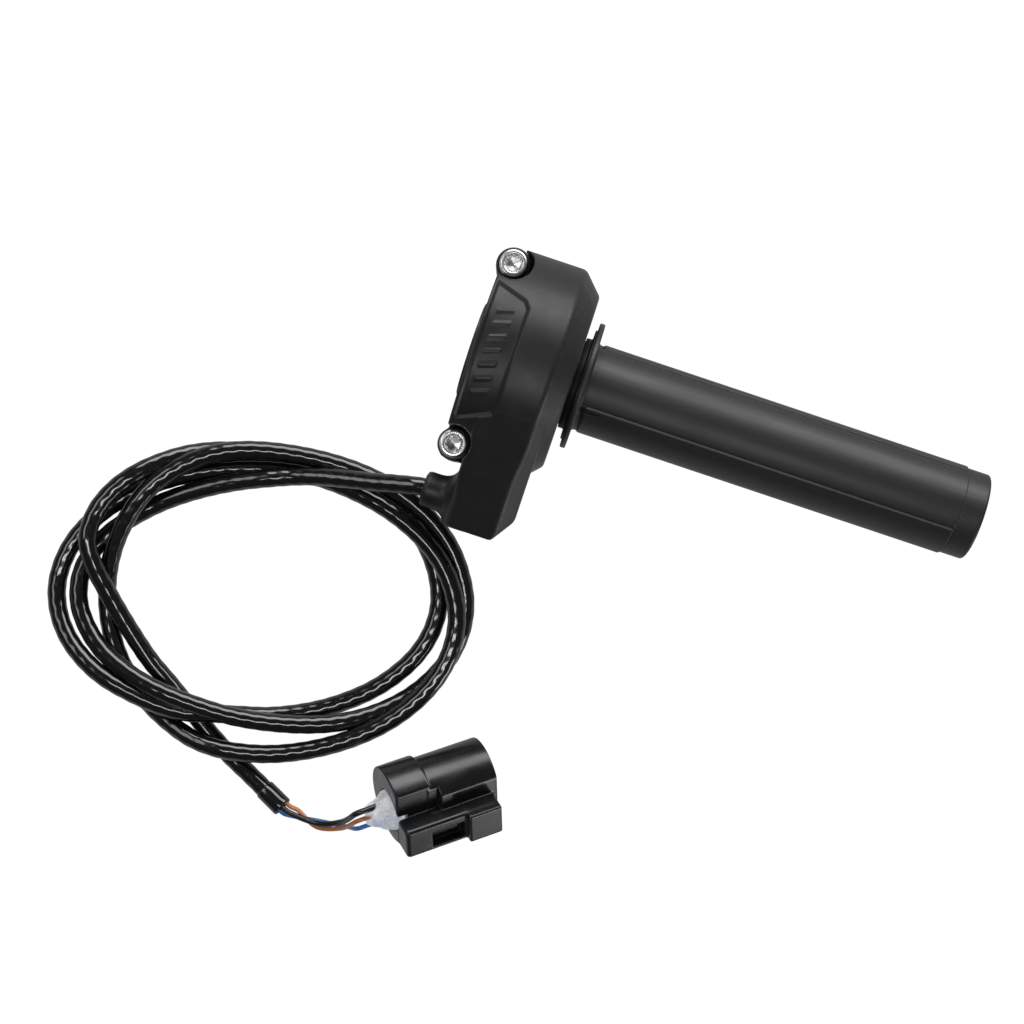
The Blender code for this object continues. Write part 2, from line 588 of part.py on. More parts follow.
def sensor():
    """The bracket that stands in the tail, with its circuit board, hall chip and capacitor."""
    holder = block("sensor_holder", (16.8, 24.4), (-38.4, -26.4), (-7.6, -6.0), "carrier_plastic")
    join(holder, block("holder_wall", (16.8, 18.4), (-38.4, -26.4), (-7.6, 6.8)))
    join(holder, block("holder_lip", (16.8, 20.6), (-38.4, -37.4), (-7.6, 6.8)))
    cut(holder, rod("holder_hole", *HOLDER_SCREW, SMALL_HOLE_R, -9, 0, 12))
    block("sensor_board", (18.7, 19.7), (-37.1, -24.6), (-5.6, 6.6), "board_green")
    block("hall_sensor", (20.0, 21.6), (-25.0, -20.8), (-2.1, 2.1), "chip_black")
    block("board_capacitor", (20.0, 21.4), (-33.6, -30.8), (1.2, 3.2), "terminal_tin")


def inner_leads():
    """The three conductors between the end of the jacket and the board's pads."""
    leads = (("power", "wire_orange", 1.7), ("ground", "wire_black", -0.2), ("signal", "wire_blue", -2.2))
    for i, (name, colour, z) in enumerate(leads):
        start = (16.3, NECK_Y + 1.7 - 0.7 * i, z * 0.6)
        bends = ((18.4, -41.6 - i * 0.3, z * 0.8), (21.6, -40.8, z), (22.2, -37.4, z))
        pad = ((21.2, -35.6, z), (20.1, -35.3, z))
        swept(f"inner_lead_{name}", smooth_path((start, *bends, *pad), 2.0), 0.6, 6, colour)


# ---- lead ----------------------------------------------------------------------------------------

def on_bench(along, across, layer):
    """A point given from the middle of the coil, in the part's own directions."""
    roll = math.radians(COIL_ROLL)
    return (
        COIL_CENTRE[0] + along * math.cos(roll) - across * math.sin(roll),
        COIL_CENTRE[1] + along * math.sin(roll) + across * math.cos(roll),
        BENCH_Z + CABLE_R + 0.1 + LAYER * layer,
    )


def coil_bend(first, last, runs_along):
    """A quarter ellipse between two extremes; runs_along: the cable leaves the first one lengthways."""
    points = []
    for i in range(4):
        turn = math.pi / 8 * i
        out, back = math.sin(turn), math.cos(turn)
        if runs_along:
            along, across = first[0] + (last[0] - first[0]) * out, last[1] + (first[1] - last[1]) * back
        else:
            along, across = last[0] + (first[0] - last[0]) * back, first[1] + (last[1] - first[1]) * out
        low, high, share = (first[2], first[3], i / 2) if i < 2 else (first[3], last[2], i / 2 - 1)
        points.append(on_bench(along, across, low + (high - low) * share))
    return points


def spread_strands(path, reach, rounds=40):
    """Eases crossing strands apart until no two of them come closer than one cable's width and a little."""
    count = len(path)
    far = np.abs(np.subtract.outer(np.arange(count), np.arange(count))) > 6
    for _ in range(rounds):
        apart = path[:, None] - path[None]
        gap = np.linalg.norm(apart, axis=2) + 1e-9
        push = np.where(far & (gap < reach), (reach - gap) / gap * 0.35, 0.0)
        shift = (apart * push[:, :, None]).sum(axis=1)
        shift[1:-1] = 0.25 * shift[:-2] + 0.5 * shift[1:-1] + 0.25 * shift[2:]
        shift[:8] = 0.0
        shift[-4:] = 0.0
        path = path + shift
        path[:, 2] = np.maximum(path[:, 2], BENCH_Z + CABLE_R + 0.05)
    return path


def cable_path():
    coil = []
    for i, (first, last) in enumerate(zip(COIL_EXTREMES, COIL_EXTREMES[1:])):
        coil += coil_bend(first, last, runs_along=i % 2 == 0)
    coil += [on_bench(*COIL_EXTREMES[-1][:3])] + [on_bench(*point) for point in WAY_OUT]
    lead_in = [(x, NECK_Y, 0.0) for x in (15.8, 10.0, 3.0)] + [(-2.6, NECK_Y, -0.1), LEAD_DROP]
    return spread_strands(smooth_path(lead_in + coil + [CABLE_END], 8.5), 2 * CABLE_R + 0.45)


def end_sleeve(end, way):
    """The shrunk-on sleeve over the last stretch of the jacket."""
    outside = [end - way * (SLEEVE_LONG - 1.2), end - way * 3, end + way * 1.2]
    inside = [end - way * SLEEVE_LONG, end - way * 3, end + way * 3]
    sleeve = swept("end_sleeve", outside, SLEEVE_OUT, 20, "cable_pvc")
    return cut(sleeve, swept("end_sleeve_bore", inside, SLEEVE_IN, 20))


def grommet():
    """The rubber bush in the neck's bore, with a collar that holds it from inside."""
    inner, outer, collar = CABLE_R + 0.3, NECK_BORE - 0.3, 5.4
    low, shoulder, high = NECK_X + 0.1, 9.9, 11.0
    profile = (
        (low, inner), (low, outer), (shoulder, outer), (shoulder, collar), (high, collar), (high, inner),
    )
    return turned("cable_grommet", profile, 24, "X", (NECK_Y, 0.0), "seal_rubber")


def cable_clamp():
    """A bridge over the jacket inside the tail, screwed to a post on either side."""
    foot, arch, top = -0.1, 3.0, 4.9
    outline = (
        (-49.7, foot), (-49.7, top), (-37.6, top), (-37.6, foot), (-40.7, foot), (-40.7, arch), (-46.9, arch),
        (-46.9, foot),
    )
    bridge = prism("cable_clamp", outline, 11.6, 15.4, "X", "carrier_plastic")
    for i, y in enumerate(CLAMP_Y):
        cut(bridge, rod(f"cable_clamp_hole_{i}", CLAMP_X, y, SMALL_HOLE_R, -3, 8, 12))
    return bridge


def lead():
    """The jacket, what holds it and its end sleeve. Gives back the jacket's end and which way it points."""
    path = cable_path()
    swept("cable_jacket", path, CABLE_R, 8, "cable_pvc")
    end = path[-1]
    way = path[-1] - path[-2]
    way /= np.linalg.norm(way)
    end_sleeve(end, way)
    grommet()
    cable_clamp()
    return end, way


# ---- plug ----------------------------------------------------------------------------------------

def plug_frame():
    """Where the plug's own axes lie on the bench."""
    turn, dip, roll = (math.radians(a) for a in (PLUG_TURN, PLUG_DIP, PLUG_ROLL))
    ahead = Vector((math.cos(turn) * math.cos(dip), math.sin(turn) * math.cos(dip), -math.sin(dip)))
    across = Vector((math.sin(turn), -math.cos(turn), 0.0))
    up = across.cross(ahead)
    to_latch = across * math.cos(roll) + up * math.sin(roll)
    square = up * math.cos(roll) - across * math.sin(roll)
    axes = Matrix((to_latch, ahead, square)).transposed().to_4x4()
    axes.translation = Vector(PLUG_AT) * MM
    return axes


def in_plug(obj):
    """Moves a shape from the plug's own axes to where the plug lies."""
    obj.data.transform(plug_frame())
    return obj


def way_point(x, y, z):
    return tuple(plug_frame() @ Vector((x * MM, y * MM, z * MM)) / MM)


def flat_sided(name, radius, flat, y, steps=36, colour=None):
    """A round bar along the plug with one flat side towards the latch."""
    corner = math.acos(flat / radius)
    outline = [
        (radius * math.cos(corner + (2 * math.pi - 2 * corner) * i / steps),
         radius * math.sin(corner + (2 * math.pi - 2 * corner) * i / steps))
        for i in range(steps + 1)
    ]
    return in_plug(prism(name, outline, y[0], y[1], "Y", colour))


def plug_block(name, x, y, z, colour=None):
    return in_plug(block(name, x, y, z, colour))


def plug_rod(name, x, z, radius, y, steps=14, colour=None):
    turns = [2 * math.pi * i / steps for i in range(steps)]
    outline = [(x + radius * math.cos(turn), z + radius * math.sin(turn)) for turn in turns]
    return in_plug(prism(name, outline, y[0], y[1], "Y", colour))


def plug_housing():
    plug = flat_sided("plug_housing", PLUG_R, PLUG_FLAT, (PLUG_STEP - 1.0, PLUG_LONG), colour="plug_black")
    cut(plug, plug_block("plug_shoulder", (TAILPIECE_FLAT, 20.0), (0.0, SHOULDER_Y), (LATCH_Z[1], 20.0)))
    join(plug, flat_sided("plug_tailpiece", TAILPIECE_R, TAILPIECE_FLAT, (0.0, PLUG_STEP)))
    join(plug, plug_block("plug_latch_box", LATCH_X, (0.2, CATCH_Y[1] - 0.2), LATCH_Z))
    catch_z = (LATCH_Z[0] - 0.1, LATCH_Z[1] + 0.1)
    join(plug, plug_block("latch_catch", (LATCH_X[0] + 1, CATCH_X), CATCH_Y, catch_z))
    cut(plug, plug_block("latch_window", (WINDOW_X, 20.0), WINDOW_Y, WINDOW_Z))
    cut(plug, flat_sided("plug_socket", SOCKET_R, PLUG_FLAT - 1.6, (SOCKET_FROM, PLUG_LONG + 2), 36))
    cut(plug, plug_rod("plug_back_well", WAYS_X, WAYS_Z[1], BACK_WELL_R, (-2.0, BACK_WELL_Y), 28))
    for i, z in enumerate(WAYS_Z):
        cut(plug, plug_rod(f"plug_way_{i}", WAYS_X, z, 1.15, (2.0, 16.0), 12))
    return plug


def plug_inside():
    for name, z in zip(("terminal_power", "terminal_ground", "terminal_signal"), WAYS_Z):
        pin = plug_rod(name, WAYS_X, z, 0.8, (9.2, 26.0), 10, "terminal_tin")
        join(pin, plug_block(name + "_blade", (WAYS_X - 0.9, WAYS_X + 0.9), (17.0, 27.2), (z - 0.4, z + 0.4)))
    lock = plug_rod("terminal_lock", 0.2, -1.0, 6.6, (14.9, 16.6), 32, "bush_natural")
    for i, z in enumerate(WAYS_Z):
        cut(lock, plug_rod(f"lock_way_{i}", WAYS_X, z, 1.15, (13.0, 18.0), 12))
    seal = flat_sided("plug_seal", SOCKET_R - 0.3, PLUG_FLAT - 1.9, (14.9, 16.6), 36, "wire_orange")
    cut(seal, plug_rod("plug_seal_hole", 0.2, -1.0, 6.95, (13.0, 18.0), 32))


def hot_melt():
    """The glue plug where the wires enter, with a way through for each wire."""
    profile = ((-7.0, 0), (-7.0, 3.9), (-5.4, 4.3), (-3.0, 5.2), (-0.6, 6.2), (3.1, 6.2), (3.1, 0))
    glue = turned("hot_melt_plug", profile, 28, "Z", (0.0, 0.0), "hot_melt")
    glue.data.transform(Matrix.Rotation(-math.pi / 2, 4, "X"))
    glue.data.transform(Matrix.Translation(Vector((WAYS_X, 0.0, WAYS_Z[1])) * MM))
    in_plug(glue)
    for i, z in enumerate(WAYS_Z):
        cut(glue, plug_rod(f"glue_way_{i}", WAYS_X, z, 1.2, (-12.0, 8.0), 12))
    return glue


def wires(end, way):
    """Three wires from the mouth of the sleeve to the plug's terminals."""
    across = np.array((-way[1], way[0], 0.0)) / math.hypot(way[0], way[1])
    for (name, radius, (aside, above), places), z in zip(WIRES, WAYS_Z):
        first = end + way * 0.4 + across * aside + (0.0, 0.0, above)
        entry = [way_point(WAYS_X, y, z) for y in (-10.0, -8.4, -3.0, 3.0, 8.9)]
        path = smooth_path([tuple(first), tuple(first + way * 1.6), *places, *entry], 2.6)
        swept(name, path, radius, 7, name)


def build():
    clear_scene()
    front_case()
    rear_case()
    twist_tube()
    magnet_carrier()
    magnets()
    ring("inner_bush", (11.35, 14.85), BUSH_IN, 15.6, "bush_natural")
    ring("outer_bush", (25.95, 28.65), BUSH_IN, 15.7, "bush_natural")
    ring("dust_seal", (29.3, 30.1), BUSH_IN, 14.4, "seal_rubber")
    return_spring()
    fasteners()
    sensor()
    inner_leads()
    end, way = lead()
    plug_housing()
    plug_inside()
    hot_melt()
    wires(end, way)


build()
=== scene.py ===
"""Finished look of a motorcycle throttle grip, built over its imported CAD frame.

Lengths are in millimetres, counted from the point where the handlebar axis meets the housing's inboard
face, unless a name says otherwise. +X runs outboard along the bar and +Z leaves the label face.
"""

import json
import math
from collections import namedtuple

import bpy
import numpy as np
import openvdb
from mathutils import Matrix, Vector

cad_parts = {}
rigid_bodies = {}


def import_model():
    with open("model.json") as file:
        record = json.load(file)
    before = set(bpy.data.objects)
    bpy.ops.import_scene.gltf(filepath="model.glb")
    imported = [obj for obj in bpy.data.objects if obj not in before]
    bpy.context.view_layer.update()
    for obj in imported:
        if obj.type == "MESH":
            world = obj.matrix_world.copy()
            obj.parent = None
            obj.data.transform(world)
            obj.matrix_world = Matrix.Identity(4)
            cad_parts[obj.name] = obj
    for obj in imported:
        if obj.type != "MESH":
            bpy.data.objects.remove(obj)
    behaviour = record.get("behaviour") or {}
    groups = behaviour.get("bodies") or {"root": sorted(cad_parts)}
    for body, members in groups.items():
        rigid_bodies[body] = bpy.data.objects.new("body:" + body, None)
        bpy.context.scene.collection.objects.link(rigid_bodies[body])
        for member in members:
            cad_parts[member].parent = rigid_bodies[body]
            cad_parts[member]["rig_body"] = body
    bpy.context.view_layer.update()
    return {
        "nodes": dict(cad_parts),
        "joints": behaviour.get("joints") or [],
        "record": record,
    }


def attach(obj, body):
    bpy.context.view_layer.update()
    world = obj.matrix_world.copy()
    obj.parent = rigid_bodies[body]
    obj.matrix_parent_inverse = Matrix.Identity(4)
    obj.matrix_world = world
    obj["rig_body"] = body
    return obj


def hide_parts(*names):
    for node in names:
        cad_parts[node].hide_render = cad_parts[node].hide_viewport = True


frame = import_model()

MM = 0.001
FAR = 99.0
TWIST = next(joint for joint in frame["joints"] if joint["name"] == "throttle_twist")
BAR = np.array(TWIST["pos_m"]) / MM
SLOT_OF = {part["node"]: part["material_slot"] for part in frame["record"]["subparts"]}

# How finely the solid shapes are sampled
CASE_STEP = 0.3
PLUG_GRID = 0.2
SCREW_GRID, NUT_GRID, GLUE_GRID = 0.12, 0.14, 0.18

# Housing: the space round it, and the drum round the bar
CASE_LOW, CASE_HIGH = (-3.2, -53.4), (31.2, 34.2)
DRUM_R, DRUM_X = 33.0, 30.2
RIM_X, RIM_R = 24.0, 26.6
DRUM_EDGE, BEVEL_EDGE, RIM_EDGE, SEAM = 1.0, 0.9, 0.6, 0.3
SPLIT, SPLIT_EDGE = 0.15, 0.35
BACK_Z, BACK_INSIDE, BACK_EDGE = -22.0, -20.3, 0.9
BAR_R, BAR_ROOM_END, CAVITY_R = 11.2, 14.0, 30.2
BOSS_R, BOSS_X = 14.2, -1.4

# Housing: the tail that holds the sensor, and the neck that the lead leaves by
TAIL_LEFT, TAIL_RIGHT, TAIL_BOTTOM = 7.2, 27.3, -52.5
TAIL_BACK, TAIL_SLOPE, TAIL_RIM_X = -12.0, 30.0, 22.9
TAIL_EDGE, TAIL_BACK_EDGE, TAIL_BOTTOM_EDGE = 0.8, 1.2, 0.7
RIM_SHIFT, LEFT_EDGE, LEFT_EDGE_GAIN, LEFT_EDGE_SHIFT = (23.0, 36.0), 1.7, 2.6, (36.0, 46.0)
CHAMFER_Y, CHAMFER_WIDE, CHAMFER_TALL = -45.0, 4.7, 7.0
NECK_Y, NECK_R, NECK_X, NECK_BORE = -43.8, 5.4, -1.9, 4.4
NECK_FILLET, NECK_EDGE, NECK_ROOT = 5.2, 1.8, 10.0

# Housing: the lugs of the clamp
Lug = namedtuple("Lug", "side x y radius pocket")
LUGS = (Lug("upper", 3.0, 27.0, 5.25, 6.1), Lug("lower", 3.0, -28.75, 4.9, 5.4))
LUG_TOP, LUG_FOOT, WEB_Y = 7.0, -12.5, (-33.3, -26.0)

# Housing: the label field, as an (x, y) outline, and its ribs
PANEL_DEPTH, PANEL_WALL, RIB_HEIGHT = 0.9, 1.1, 0.28
PANEL = [
    (1.15, 19.0), (10.3, 16.0), (11.8, 14.0), (11.8, -15.5), (11.2, -17.6), (1.9, -21.6), (1.15, -20.8),
]
RIBS, RIB_FIRST, RIB_PITCH = 7, -14.5, 4.1
RIB_X, RIB_RISE, RIB_WIDE = (3.4, 8.2), 1.6, 1.3

# Rooms inside the housing: two (x, radius) profiles, an (x, y) outline and a (y, z) one
MECHANISM = [
    (11.0, 0.0), (11.0, 15.9), (15.2, 15.9), (15.2, 14.7), (16.4, 14.7), (16.4, 18.4), (11.2, 18.4),
    (11.2, CAVITY_R), (23.0, CAVITY_R), (27.4, 25.6), (27.4, 18.8), (24.6, 18.8), (24.6, 14.7),
    (25.6, 14.7), (25.6, 16.0), (29.0, 16.0), (29.0, 14.7), (32.0, 14.7), (32.0, 0.0),
]
SADDLE = [(2.4, 14.9), (2.4, 23.0), (8.6, 23.0), (8.6, 14.9)]
SENSOR_ROOM = [
    (11.6, -24.0), (11.6, -33.5), (9.7, -35.0), (9.7, -50.0), (20.6, -50.0), (24.8, -44.0), (24.8, -24.0),
]
SENSOR_FLOOR = TAIL_BACK + 2.4
SENSOR_ROOF = [
    (-60.0, SENSOR_FLOOR), (-60.0, 1.2), (-50.0, 6.9), (-42.0, 8.6), (-20.0, 8.6), (-20.0, SENSOR_FLOOR),
]

# Twist tube
TUBE_BORE, HUB_R, HUB_X = 11.5, 13.0, 11.6
THRUST_X, THRUST_R = (22.9, 24.2), 15.6
COLLAR_X, COLLAR_R = 30.5, 14.0
FLANGE_X, FLANGE_END, FLANGE_R = 32.3, 34.5, 17.0
THIN_RIM_X, THIN_RIM_R = 32.9, 19.4
SLEEVE_R, PANEL_R = 13.2, 13.65
PANEL_START, PANEL_END, TUBE_END = 36.3, 150.3, 157.4
PANEL_SPANS = ((61.0, 152.0), (241.0, 332.0))
GATE_ANGLE, GATE_END = 326.0, 41.4
GROOVE_DEEP, GATE_DEEP, RING_DEEP, TUBE_EDGE = 0.16, 0.7, 0.13, 0.8

# Fasteners
M5_R, M5_HEAD_R, M5_HEAD, M5_TIP, M5_PITCH = 2.5, 4.2, 5.0, -12.0, 0.8
M5_SOCKET, M5_SOCKET_DEEP, M5_DISH_R, M5_DISH_DEEP = 4.0, 2.6, 2.9, 1.4
M5_THREAD, M5_HOLE_R, SEAT_GAP = 0.28, 2.8, 0.3
KNURLS, KNURL_DEEP = 48, 0.07
NUT_FLATS, NUT_Z, NUT_POCKET = 8.0, (-12.3, -8.3), 8.6
CaseScrew = namedtuple("CaseScrew", "name x y seat tip pillar_top boss_radius")
CASE_SCREWS = (
    CaseScrew("case_screw_drum", 19.5, 27.2, -13.4, 7.0, 12.5, 4.3),
    CaseScrew("case_screw_tail", 19.6, -47.4, -9.2, 4.6, 7.4, 3.4),
)
PILLAR_R, PILLAR_HOLE_R, COUNTERBORE_R = 2.9, 1.75, 3.1
PAN_R, PAN_DEEP, RECESS_LONG, RECESS_WIDE = 2.8, 1.9, 1.35, 0.32
TAPPING_R, TAPPING_PITCH, TAPPING_THREAD = 1.45, 1.3, 0.4
Post = namedtuple("Post", "x y radius top")
SMALL_POSTS = (Post(13.5, -48.35, 1.9, -0.5), Post(13.5, -39.25, 1.9, -0.5), Post(22.6, -29.4, 2.0, -8.0))
POST_HOLE_R, POST_HOLE_Z = 1.15, (-10.6, 1.0)

# Lead and plug
CABLE_R, CABLE_SIDES, WIRE_SIDES = 2.85, 28, 16
CAD_CABLE_SIDES, CAD_WIRE_SIDES = 8, 7
TWIST_PITCH, TWIST_LOBES, TWIST_HEIGHT = 13.8, 3, 0.045
SLEEVE_LONG, SLEEVE_OUT, SLEEVE_IN, SLEEVE_SIDES = 8.0, 3.2, 2.95, 32
WIRE_R = (("wire_black", 0.9), ("wire_orange", 0.7), ("wire_blue", 0.7))
PLUG_AT, PLUG_TURN, PLUG_DIP, PLUG_ROLL = (18.2, -137.3, -0.8), 35.4, 19.0, 50.0
PLUG_LONG, PLUG_STEP, SHOULDER_Y, PLUG_R, PLUG_FLAT = 32.0, 11.2, 13.6, 11.0, 9.3
TAILPIECE_R, TAILPIECE_FLAT = 12.0, 7.4
LATCH_X, LATCH_Z = (6.0, 13.9), (-10.4, 0.2)
CATCH_X, CATCH_Y = 16.0, (19.7, 30.4)
WINDOW_X, WINDOW_Y, WINDOW_Z = 10.9, (8.6, 18.9), (-9.0, -3.0)
SOCKET_R, SOCKET_FROM = 9.6, 14.5
WAYS_X, WAYS_Z, WAY_R, WAY_DEEP, WELL_R, WELL_DEEP = 1.0, (2.0, -1.2, -4.4), 1.15, 16.0, 6.6, 3.4
GLUE_END, GLUE_Y = -6.6, 3.1
GLUE_SLOPE = ((-9.0, -5.4, -2.6, 0.0, 0.4), (2.5, 3.6, 4.9, 6.3, 6.3))   # along the plug, then radius

# Bench, light and camera
BENCH_Z, BENCH_HALF = -22.0, 1500.0
FLOOR_GLOW, SKY_GLOW = 0.45, 0.08
VIEW_POINT, VIEW_HEIGHT, VIEW_ROLL = (25.7, -42.4), 660.0, 18.49
LENS, SENSOR = 77.7, 36.0


# ---- materials -----------------------------------------------------------------------------------

class Nodes:
    """A short way to write a material's node tree."""

    def __init__(self, name):
        self.material = bpy.data.materials.new(name)
        self.material.use_nodes = True
        self.tree = self.material.node_tree
        self.shader = self.tree.nodes["Principled BSDF"]
        self.place = self.add("ShaderNodeTexCoord").outputs["Object"]

    def add(self, kind, **settings):
        """A new node with some of its settings changed."""
        node = self.tree.nodes.new(kind)
        for key, value in settings.items():
            setattr(node, key, value)
        return node

    def link(self, source, target):
        """Feeds a number, a colour or another node's output into an input."""
        if isinstance(source, (int, float)):
            target.default_value = source
        elif isinstance(source, tuple):
            target.default_value = (*source, 1.0)
        else:
            self.tree.links.new(source, target)

    def noise(self, size_mm, detail=2.0, stretch=None):
        """Noise whose grains are about this wide; stretch lengthens them along each axis."""
        place = self.place
        if stretch:
            scaled = self.add("ShaderNodeMapping")
            scaled.inputs["Scale"].default_value = [1.0 / value for value in stretch]
            self.link(place, scaled.inputs["Vector"])
            place = scaled.outputs["Vector"]
        node = self.add("ShaderNodeTexNoise")
        node.inputs["Scale"].default_value = 1.0 / (size_mm * MM)
        node.inputs["Detail"].default_value = detail
        self.link(place, node.inputs["Vector"])
        return node.outputs["Fac"]

    def remap(self, value, low, high, to_low, to_high):
        """Stretches a value from one range to another and clips it there."""
        node = self.add("ShaderNodeMapRange")
        for key, number in zip(("From Min", "From Max", "To Min", "To Max"), (low, high, to_low, to_high)):
            node.inputs[key].default_value = number
        self.link(value, node.inputs["Value"])
        return node.outputs["Result"]

    def math(self, operation, first, second):
        """One step of arithmetic on outputs or numbers."""
        node = self.add("ShaderNodeMath", operation=operation)
        self.link(first, node.inputs[0])
        self.link(second, node.inputs[1])
        return node.outputs[0]

    def mix(self, share, first, second):
        """Blends two colours; share 0 gives the first."""
        node = self.add("ShaderNodeMix", data_type="RGBA")
        self.link(share, node.inputs["Factor"])
        self.link(first, node.inputs[6])
        self.link(second, node.inputs[7])
        return node.outputs[2]

    def edges(self):
        """Near 1 on the crests of outer edges, where handling polishes a surface and where a painted
        highlight lightens the colour.
        """
        point = self.add("ShaderNodeNewGeometry").outputs["Pointiness"]
        return self.remap(point, 0.52, 0.60, 0.0, 1.0)

    def bump(self, height, depth_mm, strength, under=None):
        """A normal from a height map this deep, over another bump if one is given."""
        node = self.add("ShaderNodeBump")
        node.inputs["Strength"].default_value = strength
        node.inputs["Distance"].default_value = depth_mm * MM
        self.link(height, node.inputs["Height"])
        if under:
            self.link(under, node.inputs["Normal"])
        return node.outputs["Normal"]

    def finish(self, colour, rough, normal=None, **values):
        """Connects the shader and hands the material over; values name its other inputs."""
        self.link(colour, self.shader.inputs["Base Color"])
        self.link(rough, self.shader.inputs["Roughness"])
        if normal:
            self.link(normal, self.shader.inputs["Normal"])
        for key, value in values.items():
            self.link(value, self.shader.inputs[key.replace("_", " ")])
        return self.material


def moulded(name, colour, lighter, rough, grain=0.16, depth=0.012, specular=0.5):
    """Moulded plastic: a fine spark-eroded grain, patchy sheen, edges rubbed glossier by handling and
    lightened in colour as a painted highlight.
    """
    n = Nodes(name)
    patches = n.remap(n.noise(14.0, 3.0), 0.35, 0.7, 0.0, 1.0)
    wear_and_highlight = n.math("MULTIPLY", n.edges(), n.remap(n.noise(1.6, 4.0), 0.35, 0.65, 0.2, 0.5))
    # painted highlight: the edges take a colour far lighter than the plastic, on top of real rubbing from
    # handling
    polished_and_highlit = tuple(2.6 * c + 0.01 for c in lighter)
    tone = n.mix(wear_and_highlight, n.mix(patches, colour, lighter), polished_and_highlit)
    sheen = n.remap(n.noise(5.0, 3.0), 0.3, 0.7, rough - 0.04, rough + 0.05)
    sheen = n.math("ADD", sheen, n.math("MULTIPLY", wear_and_highlight, -0.12))
    swirl = n.bump(n.noise(9.0, 2.0), 0.05, 0.25)
    grained = n.bump(n.noise(grain, 3.0), depth, 0.55, swirl)
    return n.finish(tone, sheen, grained, Specular_IOR_Level=specular)


def drawn_plastic(name, colour, lighter, rough, specular):
    """Extruded or moulded sleeve: long faint flow lines and rubbed patches over a fine grain."""
    n = Nodes(name)
    flow = n.noise(0.7, 3.0, stretch=(26.0, 1.0, 1.0))
    rubbed = n.remap(n.noise(12.0, 4.0, stretch=(2.5, 1.0, 1.0)), 0.45, 0.75, 0.0, 1.0)
    wear_and_highlight = n.math("MULTIPLY", n.edges(), 0.5)
    # painted highlight: the edges take a colour far lighter than the sleeve, on top of real rubbing from
    # handling
    polished_and_highlit = tuple(2.4 * c for c in lighter)
    tone = n.mix(wear_and_highlight, n.mix(rubbed, colour, lighter), polished_and_highlit)
    sheen = n.remap(flow, 0.3, 0.7, rough - 0.03, rough + 0.04)
    sheen = n.math("SUBTRACT", sheen, n.math("MULTIPLY", rubbed, 0.05))
    lines = n.bump(flow, 0.02, 0.3)
    grained = n.bump(n.noise(0.2, 2.0), 0.01, 0.5, lines)
    return n.finish(tone, sheen, grained, Specular_IOR_Level=specular)


def soft_skin(name, colour, rough, ripple_mm, ripple, specular=0.5):
    """Cable jacket, wire insulation or rubber: slightly wavy, with dust in patches."""
    n = Nodes(name)
    dust = n.remap(n.noise(2.2, 5.0), 0.55, 0.8, 0.0, 0.35)
    tone = n.mix(dust, colour, tuple(0.75 * c + 0.012 for c in colour))
    sheen = n.remap(n.noise(1.0, 3.0), 0.3, 0.7, rough - 0.02, rough + 0.03)
    sheen = n.math("ADD", sheen, n.math("MULTIPLY", dust, 0.25))
    waves = n.bump(n.noise(ripple_mm, 1.0), ripple, 0.6)
    grained = n.bump(n.noise(0.25, 2.0), 0.004, 0.4, waves)
    return n.finish(tone, sheen, grained, Specular_IOR_Level=specular)


def metal(name, colour, darker, rough, scratch=0.006):
    """Machined or drawn metal with fine tool marks and faint stains."""
    n = Nodes(name)
    marks = n.noise(0.08, 3.0, stretch=(1.0, 1.0, 12.0))
    stain = n.remap(n.noise(1.4, 4.0), 0.5, 0.75, 0.0, 1.0)
    tone = n.mix(stain, colour, darker)
    sheen = n.remap(marks, 0.3, 0.7, rough - 0.05, rough + 0.08)
    sheen = n.math("ADD", sheen, n.math("MULTIPLY", stain, 0.08))
    return n.finish(tone, sheen, n.bump(marks, scratch, 0.5), Metallic=1.0)


def circuit_board(name):
    """Green solder mask over faint copper tracks."""
    n = Nodes(name)
    tracks = n.add("ShaderNodeTexBrick")
    tracks.inputs["Scale"].default_value = 420.0
    tracks.inputs["Mortar Size"].default_value = 0.03
    n.link(n.place, tracks.inputs["Vector"])
    copper = n.remap(tracks.outputs["Fac"], 0.0, 1.0, 0.0, 0.8)
    tone = n.mix(copper, (0.012, 0.13, 0.055), (0.05, 0.26, 0.11))
    return n.finish(tone, n.remap(n.noise(0.6), 0.3, 0.7, 0.3, 0.42), n.bump(copper, 0.03, 0.6))


def glue(name):
    """Hot melt glue: grey-blue and translucent, milky in streaks, with a lumpy skin and a faint painted glow
    that lightens it.
    """
    n = Nodes(name)
    streaks = n.remap(n.noise(3.0, 2.0), 0.38, 0.68, 0.0, 1.0)
    tone = n.mix(streaks, (0.66, 0.72, 0.80), (0.86, 0.88, 0.91))
    clear = n.remap(streaks, 0.0, 1.0, 0.75, 0.45)
    lumps = n.bump(n.noise(2.2, 1.0), 0.2, 0.4)
    sheen = n.remap(n.noise(0.8), 0.3, 0.7, 0.24, 0.38)
    # Emission_Strength gives the glue a faint white painted glow; it is not a lamp
    return n.finish(tone, sheen, lumps, Transmission_Weight=clear, IOR=1.2, Emission_Strength=0.12)


